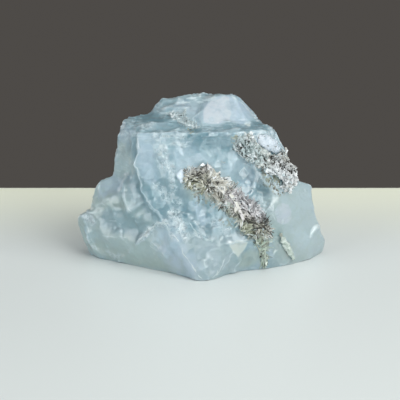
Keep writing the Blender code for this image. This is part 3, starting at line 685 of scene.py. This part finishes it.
MIX_FIRST, MIX_SECOND, MIX_RESULT = 6, 7, 2  # the colour sockets of a mix node
STONE_TINTS = {
    "body": (0.33, 0.51, 0.58),
    "cloud": (0.44, 0.62, 0.69),
    "haze": (0.54, 0.69, 0.77),
    # each chip of the break lighter or darker as it tilts: painted light
    "facet": (0.60, 0.74, 0.82),
    "moss": (0.50, 0.63, 0.60),
    # the clear parts, their dark painted as shade, and painted shade in grooves
    "deep": (0.21, 0.38, 0.45),
    # painted shade in hollows
    "crease": (0.29, 0.45, 0.50),
    "veil": (0.60, 0.75, 0.87),
    "cream": (0.70, 0.78, 0.70),
    "pale_pane": (0.70, 0.79, 0.86),
    "cream_pane": (0.79, 0.89, 0.85),
    "white_pane": (0.78, 0.91, 0.98),
    # painted rim light, where the skin turns away from the eye
    "outline": (0.72, 0.84, 0.90),
    # painted highlight on ridges
    "rim": (0.76, 0.88, 0.95),
    "under_frost": (0.34, 0.50, 0.57),
    # frost, streaks and threads; along sharp edges the threads are painted highlights
    "white": (0.80, 0.94, 1.0),
    # painted glints, and the strongest threads as painted highlights
    "bright": (0.85, 0.98, 1.0),
}
SPECK_TINTS = ((0.14, 0.15, 0.11), (0.42, 0.44, 0.33))
MICA_TINTS = {
    "body": (0.26, 0.26, 0.22),
    "silver": (0.58, 0.58, 0.53),
    "olive": (0.23, 0.26, 0.13),
    "lilac": (0.52, 0.51, 0.58),
    "blue": (0.42, 0.56, 0.62),
    "cream": (0.42, 0.51, 0.43),
    # the darkest plates, and the body under them, whose dark is painted shade in the gaps between plates
    "black": (0.035, 0.035, 0.03),
    "flash": (0.75, 0.79, 0.81),
}
ALBITE_TINTS = {
    "body": (0.33, 0.41, 0.47),
    "cloud": (0.50, 0.57, 0.63),
    "speck": (0.24, 0.27, 0.28),
    "bleached": (0.57, 0.66, 0.73),
}
LEAF_TINTS = {"body": (0.31, 0.38, 0.34), "streak": (0.48, 0.55, 0.52), "tip": (0.20, 0.19, 0.15)}


def put(socket, value):
    """Links a node's output to a socket, or sets the socket to a colour, a vector or a number."""
    if isinstance(value, bpy.types.NodeSocket):
        socket.id_data.links.new(value, socket)
    elif isinstance(value, tuple):
        socket.default_value = (*value, 1.0)[:len(socket.default_value)]
    else:
        socket.default_value = value


def fill(node, **inputs):
    """Puts values into a node's inputs by name, with _ for a space."""
    for name, value in inputs.items():
        put(node.inputs[name.replace("_", " ")], value)
    return node


def new_node(tree, kind, *values, operation=None, **inputs):
    """A new shader node, with what goes into its inputs given in order or by name."""
    node = tree.nodes.new("ShaderNode" + kind)
    if operation:
        node.operation = operation
    for socket, value in zip(node.inputs, values):
        put(socket, value)
    return fill(node, **inputs)


def chip_group():
    """Small flat chips, each tilted its own way: how high a place lies on its chip, and the chip's shade."""
    if "tilted_chips" in bpy.data.node_groups:
        return bpy.data.node_groups["tilted_chips"]
    group = bpy.data.node_groups.new("tilted_chips", "ShaderNodeTree")
    for name, way, kind in (
        ("Vector", "INPUT", "Vector"), ("Scale", "INPUT", "Float"),
        ("Height", "OUTPUT", "Float"), ("Shade", "OUTPUT", "Float"),
    ):
        group.interface.new_socket(name, in_out=way, socket_type="NodeSocket" + kind)
    start = group.nodes.new("NodeGroupInput").outputs
    cells = new_node(group, "TexVoronoi", Vector=start["Vector"], Scale=start["Scale"]).outputs
    offset = new_node(group, "VectorMath", start["Vector"], cells["Position"], operation="SUBTRACT")
    tilt = new_node(group, "VectorMath", cells["Color"], (0.5, 0.5, 0.5), operation="SUBTRACT")
    height = new_node(group, "VectorMath", offset.outputs[0], tilt.outputs[0], operation="DOT_PRODUCT")
    shade = new_node(group, "SeparateColor", Color=cells["Color"])
    end = group.nodes.new("NodeGroupOutput")
    fill(end, Height=height.outputs["Value"], Shade=shade.outputs["Blue"])
    return group


class Finish:
    """A material's node tree, with short ways to add what the finishes here need."""

    def __init__(self, name):
        self.material = bpy.data.materials.new(name)
        self.material.use_nodes = True
        self.tree = self.material.node_tree
        self.place = self.add("TexCoord")["Object"]

    def add(self, kind, *values, **inputs):
        return new_node(self.tree, kind, *values, **inputs).outputs

    def set(self, **values):
        fill(self.tree.nodes["Principled BSDF"], **values)

    def mask(self, name):
        node = new_node(self.tree, "Attribute")
        node.attribute_name = name
        return node.outputs["Fac"]

    def noise(self, scale, detail=3.0, roughness=0.55, distortion=0.0, stretch=None):
        place = self.place
        if stretch:
            place = self.add("VectorMath", place, stretch, operation="MULTIPLY")[0]
        return self.add(
            "TexNoise", Vector=place, Scale=scale, Detail=detail, Roughness=roughness, Distortion=distortion
        )["Fac"]

    def reckon(self, operation, first, second, clamp=False):
        node = new_node(self.tree, "Math", first, second, operation=operation)
        node.use_clamp = clamp
        return node.outputs["Value"]

    def times(self, first, second):
        return self.reckon("MULTIPLY", first, second)

    def most(self, first, second):
        return self.reckon("MAXIMUM", first, second)

    def off_half(self, mask):
        """How far a mask is from a half, either way."""
        return self.reckon("ABSOLUTE", self.reckon("SUBTRACT", mask, 0.5), 0.0)

    def window(self, value, low, high, to_low=0.0, to_high=1.0):
        node = new_node(
            self.tree, "MapRange", Value=value, From_Min=low, From_Max=high, To_Min=to_low, To_Max=to_high
        )
        node.interpolation_type = "SMOOTHSTEP"
        return node.outputs["Result"]

    def blend(self, share, first, second):
        node = self.tree.nodes.new("ShaderNodeMix")
        node.data_type = "RGBA"
        node.clamp_factor = True
        put(node.inputs["Factor"], share)
        put(node.inputs[MIX_FIRST], first)
        put(node.inputs[MIX_SECOND], second)
        return node.outputs[MIX_RESULT]

    def lay(self, tints, under=None, **shares):
        """Lays tints over a colour, or over that of the body, in turn and as far as their shares say."""
        colour = tints["body"] if under is None else under
        for kind, share in shares.items():
            colour = self.blend(share, colour, tints[kind])
        return colour

    def cracks(self, scale):
        """How far a place is from the nearest of many bent cracks."""
        bent = self.add("TexNoise", Vector=self.place, Scale=scale)["Color"]
        place = self.add("VectorMath", bent, (0.8 / scale,) * 3, self.place, operation="MULTIPLY_ADD")[0]
        node = self.tree.nodes.new("ShaderNodeTexVoronoi")
        node.feature = "DISTANCE_TO_EDGE"
        return fill(node, Vector=place, Scale=scale).outputs["Distance"]

    def chips(self, scale):
        node = self.tree.nodes.new("ShaderNodeGroup")
        node.node_tree = chip_group()
        outputs = fill(node, Vector=self.place, Scale=scale).outputs
        return outputs["Height"], outputs["Shade"]

    def bump(self, height, distance, strength, under=None):
        node = new_node(self.tree, "Bump", Height=height, Distance=distance, Strength=strength)
        if under is not None:
            put(node.inputs["Normal"], under)
        return node.outputs["Normal"]


def floor_finish():
    finish = Finish("floor_finish")
    rear = finish.window(finish.add("SeparateXYZ", finish.place)["Y"], 0.0, FLOOR_END)
    finish.set(Base_Color=finish.lay(FLOOR_TINTS, rear=rear), Roughness=0.45)
    return finish.material


def stone_body(finish, shade, broken):
    """The colour of the stone with its veils and flat breaks, and the mask of the white ones."""
    thick = finish.window(finish.noise(480.0, 5.0, 0.6, distortion=0.6), 0.34, 0.58, 0.45, 1.0)
    colour = finish.lay(
        STONE_TINTS,
        cloud=finish.window(finish.noise(260.0, 4.0, distortion=0.4), 0.35, 0.68),
        haze=finish.window(finish.noise(900.0, 5.0, 0.65), 0.42, 0.66, 0.0, 0.45),
        # each chip of the break lighter or darker as it tilts: painted light
        facet=finish.times(finish.window(shade, 0.30, 0.80, 0.0, 0.18), broken),
        moss=finish.mask("moss"),
        # clear parts and grooves darkened: painted shade
        deep=finish.mask("deep"),
        # painted shade in hollows
        crease=finish.times(finish.mask("crease"), 0.6),
        veil=finish.times(finish.mask("veil"), thick),
        cream=finish.mask("cream"),
    )
    for kind, strength in (("pale_pane", 0.95), ("cream_pane", 0.90), ("white_pane", 0.90)):
        pane = finish.mask(kind)
        inside = finish.window(pane, 0.42, 0.58, 0.0, strength)
        if kind == "pale_pane":
            inside = finish.times(inside, thick)
        inside = finish.most(inside, finish.window(finish.off_half(pane), 0.14, 0.02, 0.0, 0.5))
        colour = finish.blend(inside, colour, STONE_TINTS[kind])
    return colour, inside


def stone_whites(finish, small_shade, fine_shade):
    """Masks of what is white on the stone, crumbs and threads, and of the brightest of it."""
    crumbs = finish.window(small_shade, 0.62, 0.68, 0.0, 0.4)
    crumbs = finish.most(crumbs, finish.window(fine_shade, 0.60, 0.66))
    crumbs = finish.most(crumbs, finish.window(finish.cracks(1300.0), 0.07, 0.02))
    frost = finish.times(finish.mask("frost"), crumbs)
    streaks = finish.window(finish.noise(340.0, 4.0, 0.6, stretch=(1.0, 1.0, 7.0)), 0.52, 0.60)
    white = finish.most(frost, finish.times(finish.mask("streak"), streaks))
    # The threads: along sharp edges a painted highlight, along thin cracks white in the stone.
    thread = finish.window(finish.off_half(finish.mask("across")), 0.16, 0.02)
    thread = finish.times(thread, finish.mask("thread"))
    # The brightest: painted glints, and the strongest threads as painted highlights.
    return finish.most(white, thread), finish.most(finish.mask("glint"), finish.window(thread, 0.5, 0.9))


def stone_finish():
    finish = Finish("milky_aquamarine")
    wide_height, wide_shade = finish.chips(420.0)
    small_shade = finish.chips(1000.0)[1]
    fine_height, fine_shade = finish.chips(2100.0)
    broken = finish.reckon("SUBTRACT", 1.0, finish.most(finish.mask("veil"), finish.mask("cream")))
    colour, inside = stone_body(finish, wide_shade, broken)
    white, bright = stone_whites(finish, small_shade, fine_shade)
    colour = finish.lay(
        STONE_TINTS,
        under=colour,
        # painted rim light where the skin turns away from the eye
        outline=finish.window(finish.add("LayerWeight")["Facing"], 0.72, 1.0, 0.0, 0.5),
        # painted highlight on ridges
        rim=finish.times(finish.mask("rim"), 0.7),
        under_frost=finish.times(finish.mask("frost"), 0.6),
        white=white,
        # painted glints and the strongest threads: painted highlights
        bright=bright,
    )
    dots = finish.times(finish.mask("speck"), finish.window(fine_shade, 0.42, 0.34))
    colour = finish.blend(dots, colour, finish.blend(finish.window(fine_shade, 0.16, 0.20), *SPECK_TINTS))
    opaque = finish.most(finish.most(white, bright), inside)
    pits = finish.bump(finish.noise(1400.0, 5.0), 0.12 * MM, 0.45)
    tilted = finish.bump(wide_height, 1.0, finish.times(broken, 0.2), pits)
    frosty = finish.window(finish.mask("frost"), 0.0, 1.0, 0.08, 0.9)
    finish.set(
        Base_Color=colour,
        IOR=BERYL_IOR,
        Roughness=0.36,
        Transmission_Weight=0.5,
        Subsurface_Weight=finish.window(opaque, 0.0, 0.4, 1.0, 0.0),
        Subsurface_Radius=(0.9, 0.95, 1.0),
        Subsurface_Scale=0.9 * MM,
        Coat_Weight=0.6,
        Coat_Roughness=0.08,
        Coat_IOR=1.5,
        Normal=finish.bump(fine_height, 1.0, frosty, tilted),
    )
    absorption = finish.add("VolumeAbsorption", Color=BERYL_TINT, Density=BERYL_DENSITY)
    put(finish.tree.nodes["Material Output"].inputs["Volume"], absorption["Volume"])
    return finish.material


def mica_finish():
    finish = Finish("silvery_mica")
    grain = finish.noise(2400.0, 3.0)
    tone = finish.reckon("ADD", finish.mask("tone"), finish.window(grain, 0.3, 0.7, -0.10, 0.10), clamp=True)
    colour = finish.lay(
        MICA_TINTS,
        silver=finish.window(tone, 0.15, 0.75),
        olive=finish.times(finish.mask("olive"), 0.7),
        lilac=finish.times(finish.mask("lilac"), 0.6),
        blue=finish.times(finish.mask("blue"), 0.85),
        cream=finish.times(finish.mask("cream"), 0.9),
        black=finish.window(tone, 0.26, 0.06),
        flash=finish.window(tone, 0.74, 0.96),
    )
    finish.set(
        Base_Color=colour,
        Metallic=0.0,
        IOR=MICA_IOR,
        Roughness=finish.window(tone, 0.0, 1.0, 0.65, 0.40),
        Specular_IOR_Level=0.4,
        Normal=finish.bump(grain, 0.05 * MM, 0.3),
    )
    return finish.material


def albite_finish():
    finish = Finish("white_albite")
    colour = finish.lay(
        ALBITE_TINTS,
        cloud=finish.window(finish.noise(900.0, 5.0, 0.65), 0.38, 0.52),
        speck=finish.window(finish.chips(2600.0)[1], 0.09, 0.05),
        bleached=finish.mask("bleached"),
    )
    finish.set(
        Base_Color=colour,
        Roughness=0.5,
        Subsurface_Weight=0.3,
        Subsurface_Radius=(1.0, 1.0, 1.0),
        Subsurface_Scale=0.6 * MM,
        Normal=finish.bump(finish.noise(2600.0, 4.0), 0.2 * MM, 0.8),
    )
    return finish.material


def leaf_finish():
    finish = Finish("cream_leaf")
    streak = finish.noise(1300.0, 4.0, distortion=0.8)
    colour = finish.lay(LEAF_TINTS, streak=finish.window(streak, 0.42, 0.58), tip=finish.mask("tip"))
    finish.set(Base_Color=colour, Roughness=0.5, Normal=finish.bump(streak, 0.12 * MM, 0.6))
    return finish.material


# ---------------------------------------------------------------- the crusts

# The plates of each mica crust. "fans" are the spots on the drawing that they fan out from, and "film" marks
# where the crust thins out and lies in the stone. "rise" is how steeply the plates stand, "unrest" how
# untidily they lie, and "stray" how far they slide along themselves, as a share of their length. "shade"
# makes them lighter, "contrast" spreads their tones, and "core" is the tone of the body under them: dark on
# the front and the shoulder, where it is painted shade in the gaps between the plates.
FRONT_LOOK = {
    "fans": [(190, 177), (208, 186), (222, 203), (247, 210), (262, 226), (258, 244)],
    "count": 3800, "length": (0.9, 2.2), "width": (0.12, 0.34), "thickness": (0.05, 0.10),
    "rise": (-0.1, 0.6), "unrest": 0.35, "stray": (-0.2, 0.5),
    "shade": 0.08, "contrast": 1.0, "core": 0.08,
    "film": [
        (0.8, 9, 0.4, [(262, 248), (263, 270)]),
        (1.6, 6, 0.5, [(210, 158), (218, 163), (222, 172)]),
        (1.0, 3, 0.6, [(238, 188), (246, 196)]),
    ],
}
SHOULDER_LOOK = {
    "fans": [],
    "count": 950, "length": (0.7, 1.5), "width": (0.4, 1.1), "thickness": (0.12, 0.25),
    "rise": (-0.2, 0.2), "unrest": 0.4, "stray": (0.0, 0.0),
    "shade": 0.18, "contrast": 0.95, "core": 0.12,
    "film": [(1.4, 7, 0.5, [(288, 140), (296, 156)]), (0.5, 10, 0.5, [(234, 136), (250, 152)])],
}
TUFT_LOOK = {
    "fans": [],
    "count": 600, "length": (0.3, 0.8), "width": (0.15, 0.4), "thickness": (0.05, 0.10),
    "rise": (-0.1, 0.3), "unrest": 0.5, "stray": (0.0, 0.0),
    "shade": 0.15, "contrast": 0.8, "core": 0.45,
    "film": [(0.6, 9, 0.5, [(180, 118), (198, 130)]), (0.6, 4, 0.5, [(168, 110), (170, 112)])],
}
CORE_DEPTH = 0.28  # how far the body of a crust lies below its solid's skin
BUNDLE_SIZE = 1.6  # of the bundles in which the plates lie alike
BUNDLE_PULL = 1.6  # how strongly a bundle turns the way that its plates point
BUNDLE_TURN = 0.5  # and how strongly their faces
FAN_PULL = 1.3
TIP_RISE = (-0.1, 0.3)  # how far the tip of a plate stands off the solid
MIDDLE_TONE = 0.45
TONE_SIZE = 1.2  # of the patches of plates with the same tone
TONE_SWAY = 0.40
TONE_LUCK = 0.42
MARK_TONE = 0.4
SUNK = (0.8, 0.3)  # how near the stone a plate takes on its blue
SUNK_BLUE = 0.7
KNOB_SIZE = 0.7  # of the knobs on the crusts without plates
KNOB_RELIEF = 0.30
WAVE_SIZE = 0.8  # and of the soft waves between them
WAVE_RELIEF = 0.12
KNOBS_SUNK = 0.04

# Tints of the mica, laid out like the marks of the stone.
MICA_MARKS = {
    "olive": [
        (1.0, 6, 0.6, [(192, 184), (200, 196), (212, 206)]),
        (0.7, 6, 0.6, [(224, 214), (238, 226), (254, 236)]),
        (0.6, 5, 0.5, [(262, 236), (262, 248)]),
        (0.9, 3, 0.5, [(262, 262), (263, 270)]),
        (0.5, 5, 0.6, [(246, 146), (258, 156), (266, 162)]),
        (0.3, 8, 0.6, [(188, 174), (204, 180)]),
    ],
    "lilac": [
        (0.9, 9, 0.6, [(234, 198), (248, 204), (258, 212)]),
        (0.5, 6, 0.6, [(190, 168), (206, 168)]),
        (0.6, 12, 0.6, [(276, 166), (288, 176)]),
    ],
    "blue": [
        (0.7, 10, 0.6, [(236, 138), (246, 148), (256, 156)]),
        (0.25, 14, 0.6, [(270, 162), (284, 176)]),
        (0.6, 3, 0.6, [(284, 192), (284, 198)]),
        (0.4, 5, 0.5, [(262, 246), (262, 268)]),
        (0.8, 12, 0.6, [(172, 113), (186, 122), (196, 130)]),
    ],
    "cream": [
        (1.0, 6, 0.5, [(262, 246), (263, 270)]),
        (0.2, 6, 0.6, [(226, 212), (244, 230)]),
    ],
    "pale": [
        (0.8, 4, 0.5, [(210, 168), (218, 163)]),
        (0.3, 6, 0.6, [(220, 182), (232, 196)]),
        (0.7, 7, 0.6, [(274, 172), (284, 176), (286, 186)]),
        (0.6, 3, 0.6, [(292, 160), (297, 172)]),
        # a painted glint: the bright flake on the tuft
        (1.0, 2.6, 0.4, [(174, 115), (174, 121)]),
    ],
    "dark": [
        (0.25, 6, 0.5, [(262, 248), (263, 270)]),
        (0.4, 5, 0.6, [(276, 184), (286, 192)]),
        (0.35, 3, 0.6, [(240, 138), (250, 146), (260, 156)]),
        (0.5, 5, 0.5, [(239, 150), (247, 156)]),
        (0.3, 12, 0.6, [(272, 164), (286, 178)]),
        (0.3, 8, 0.6, [(172, 113), (186, 122), (194, 128)]),
        (0.9, 5, 0.5, [(250, 218), (262, 226), (267, 222)]),
        (0.5, 3, 0.6, [(226, 192), (234, 202)]),
        (0.5, 3, 0.6, [(206, 184), (214, 190)]),
        (0.5, 2.5, 0.6, [(246, 222), (254, 234)]),
        (0.7, 4, 0.5, [(196, 174), (202, 172)]),
        (0.9, 4, 0.5, [(276, 158), (284, 162), (292, 170)]),
        (0.6, 5, 0.6, [(282, 190), (286, 196)]),
        (0.6, 3, 0.6, [(262, 176), (266, 188)]),
    ],
}

# Marks of the other crusts.
LUMP_MARKS = {
    "tip": [(0.6, 2.0, 0.6, [(279.5, 233), (280.5, 236)])],
    "bleached": [(1.0, 9, 0.2, [(184, 170), (183, 184)])],
}
INWARD = np.array((0.0, 1.0, 0.0))


def spots_on(mesh, count, luck):
    """Places spread over a mesh by area, each with the normal there."""
    mesh.calc_loop_triangles()
    areas = np.array([face.area for face in mesh.loop_triangles])
    ends = np.cumsum(areas)
    for turn in range(count):
        pick = int(np.searchsorted(ends, (turn + luck.random()) / count * ends[-1]))
        face = mesh.loop_triangles[min(pick, len(areas) - 1)]
        first, second, third = (mesh.vertices[index].co for index in face.vertices)
        a, b = luck.random(), luck.random()
        if a + b > 1:
            a, b = 1 - a, 1 - b
        yield first + (second - first) * a + (third - first) * b, Vector(face.normal)


def blade_stack(count):
    """One six-sided plate, a unit long, wide and thick, and enough copies of it in the same place."""
    bm = bmesh.new()
    bmesh.ops.create_cone(bm, cap_ends=True, segments=6, radius1=0.5, radius2=0.42, depth=1.0)
    corners = len(bm.verts)
    while len(bm.verts) < count * corners:
        bmesh.ops.duplicate(bm, geom=bm.verts[:] + bm.edges[:] + bm.faces[:])
    bm.verts.ensure_lookup_table()
    bmesh.ops.delete(bm, geom=bm.verts[count * corners:], context="VERTS")
    return bm, corners


def any_way(luck):
    return Vector((luck.gauss(0, 1), luck.gauss(0, 1), luck.gauss(0, 1)))


def fan_out(place, fans):
    """The way that a plate points at a place: away from the nearest spot that plates fan out from."""
    if not fans:
        return Vector()
    spot = on_drawing(np.array([place]))[0]
    away = min((spot - fan for fan in np.array(fans, float)), key=lambda gap: gap @ gap)
    return Vector((away[0], 0.0, -away[1])).normalized() * FAN_PULL


def bare_stone():
    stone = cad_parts["aquamarine_crystal"].data
    return BVHTree.FromPolygons([v.co for v in stone.vertices], [list(f.vertices) for f in stone.polygons])


def in_film(points, film, stone):
    """Points of a crust, pushed into the stone where the crust thins out."""
    moved = points.copy()
    for index, depth in enumerate(strength_of(film, on_drawing(points))):
        if depth > 0.0:
            moved[index] -= np.array(stone.find_nearest(Vector(points[index]))[1]) * depth * MM
    return moved


def how_sunk(places, stone):
    """How near places are to the stone under a crust: 1 on it, 0 where they stand well off it."""
    return soft_step(*SUNK, np.array([stone.find_nearest(Vector(place))[3] for place in places]) / MM)


def mica_blades(carrier, look, luck, stone):
    """Thin plates that cover a carrier, with their middles and tones. They lie in bundles and fan out."""
    bm, corners = blade_stack(look["count"])
    blades = finished("blades", bm)
    turns = []
    for place, normal in spots_on(carrier, look["count"], luck):
        bundle = noise.noise_vector(place / (BUNDLE_SIZE * MM)) * BUNDLE_PULL
        lie = fan_out(place, look["fans"]) + bundle + any_way(luck) * look["unrest"]
        lie += normal * luck.uniform(*look["rise"])
        lie.normalize()
        side = lie.cross(normal + bundle * BUNDLE_TURN + any_way(luck) * look["unrest"]).normalized()
        flat = side.cross(lie).normalized()
        size = Vector([luck.uniform(*look[measure]) * MM for measure in ("length", "width", "thickness")])
        reach = sum(abs(way.dot(normal)) * extent for way, extent in zip((lie, side, flat), size)) / 2
        above = luck.uniform(*TIP_RISE) * MM - reach
        middle = place + normal * above + lie * size.x * luck.uniform(*look["stray"])
        turn = Matrix((lie, side, flat)).transposed().to_4x4()
        turns.append(Matrix.Translation(middle) @ turn @ Matrix.Diagonal((*size, 1.0)))
    turns = np.array(turns)
    shape = points_of(blades.data).reshape(len(turns), corners, 3)
    points = np.einsum("bij,bcj->bci", turns[:, :3, :3], shape) + turns[:, None, :3, 3]
    move_points(blades.data, in_film(points.reshape(-1, 3), look["film"], stone))
    middles = turns[:, :3, 3]
    tone = TONE_SWAY * wander(middles, TONE_SIZE)[:, 0]
    tone = tone + [luck.uniform(-TONE_LUCK, TONE_LUCK) for turn in turns]
    return blades, middles, MIDDLE_TONE + tone * look["contrast"] + look["shade"]


def mica_piece(node, name, look, finish):
    """A mica crust: its body, sunk below the solid's skin, and the plates that cover it, in one mesh."""
    luck = random.Random(name + str(SEED))
    stone = bare_stone()
    core = fine_copy(node, name + "_core", CORE_STEP)
    points = relaxed(points_of(core.data), edges_of(core.data), turns=2)
    points -= normals_of(core.data) * CORE_DEPTH * MM
    points[:, 2] = np.maximum(points[:, 2], 0.0)
    move_points(core.data, in_film(points, look["film"], stone))
    blades, middles, tone = mica_blades(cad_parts[node].data, look, luck, stone)
    core_middles = np.array([face.center for face in core.data.polygons])
    faces_each = len(blades.data.polygons) // len(middles)
    spots = on_drawing(np.concatenate([core_middles, np.repeat(middles, faces_each, axis=0)]))
    # The body takes the look's core tone: dark on the front and shoulder, as painted shade between the
    # plates.
    tone = np.concatenate([np.full(len(core_middles), look["core"]), np.repeat(tone, faces_each)])
    sunk = np.concatenate([np.zeros(len(core_middles)), np.repeat(how_sunk(middles, stone), faces_each)])
    bm = bmesh.new()
    for part in (core, blades):
        bm.from_mesh(part.data)
        bpy.data.objects.remove(part)
    piece = finished(name, bm)
    tints = {kind: strength_of(marks, spots) for kind, marks in MICA_MARKS.items()}
    tints["blue"] = np.maximum(tints["blue"], sunk * SUNK_BLUE)
    tints["tone"] = tone + tints.pop("pale") * MARK_TONE - tints.pop("dark") * MARK_TONE
    for kind, tint in tints.items():
        keep_mask(piece.data, kind, tint, "FACE")
    move_points(piece.data, in_box(points_of(piece.data), box))
    piece.data.materials.append(finish)
    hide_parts(node)
    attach(piece, "root")


def knobs(place):
    """How far the skin of a lump stands off its solid at a place."""
    wave = noise.noise(place / (WAVE_SIZE * MM))
    return chips(place / MM, KNOB_SIZE, seed=5.0) * KNOB_RELIEF + wave * WAVE_RELIEF - KNOBS_SUNK


def lumpy_piece(node, name, step, finish, depth=0.0):
    """A crust without plates: the solid with a knobbly skin, moved inward by a depth."""
    made = fine_copy(node, name, step)
    mesh = made.data
    points = relaxed(points_of(mesh), edges_of(mesh), turns=3)
    move_points(mesh, points)
    lift = np.array([knobs(Vector(p)) for p in points])
    for kind, marks in LUMP_MARKS.items():
        keep_mask(mesh, kind, strength_of(marks, on_drawing(points)))
    points += normals_of(mesh) * (lift * MM)[:, None] + INWARD * depth * MM
    move_points(mesh, in_box(points, box))
    mesh.shade_smooth()
    mesh.materials.append(finish)
    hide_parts(node)
    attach(made, "root")
    return made


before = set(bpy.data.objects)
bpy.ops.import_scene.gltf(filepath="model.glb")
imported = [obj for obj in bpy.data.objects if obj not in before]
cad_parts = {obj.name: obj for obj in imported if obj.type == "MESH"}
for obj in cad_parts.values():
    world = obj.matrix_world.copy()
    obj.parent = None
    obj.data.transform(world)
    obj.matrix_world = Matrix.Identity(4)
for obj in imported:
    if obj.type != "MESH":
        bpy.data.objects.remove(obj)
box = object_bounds()
noise.seed_set(SEED)
place_camera()
place_floor()
light_room()
make_stone()
silver = mica_finish()
mica_piece("mica_crust_front", "front_mica", FRONT_LOOK, silver)
mica_piece("mica_crust_shoulder", "shoulder_mica", SHOULDER_LOOK, silver)
mica_piece("mica_tuft_ledge", "ledge_mica", TUFT_LOOK, silver)
albite = albite_finish()
lumpy_piece("albite_patch_shoulder", "shoulder_albite", 0.16, albite, 0.35)
lumpy_piece("albite_chip_front", "front_albite", 0.12, albite)
lumpy_piece("mica_leaf_right", "right_leaf", 0.12, leaf_finish(), 0.25)
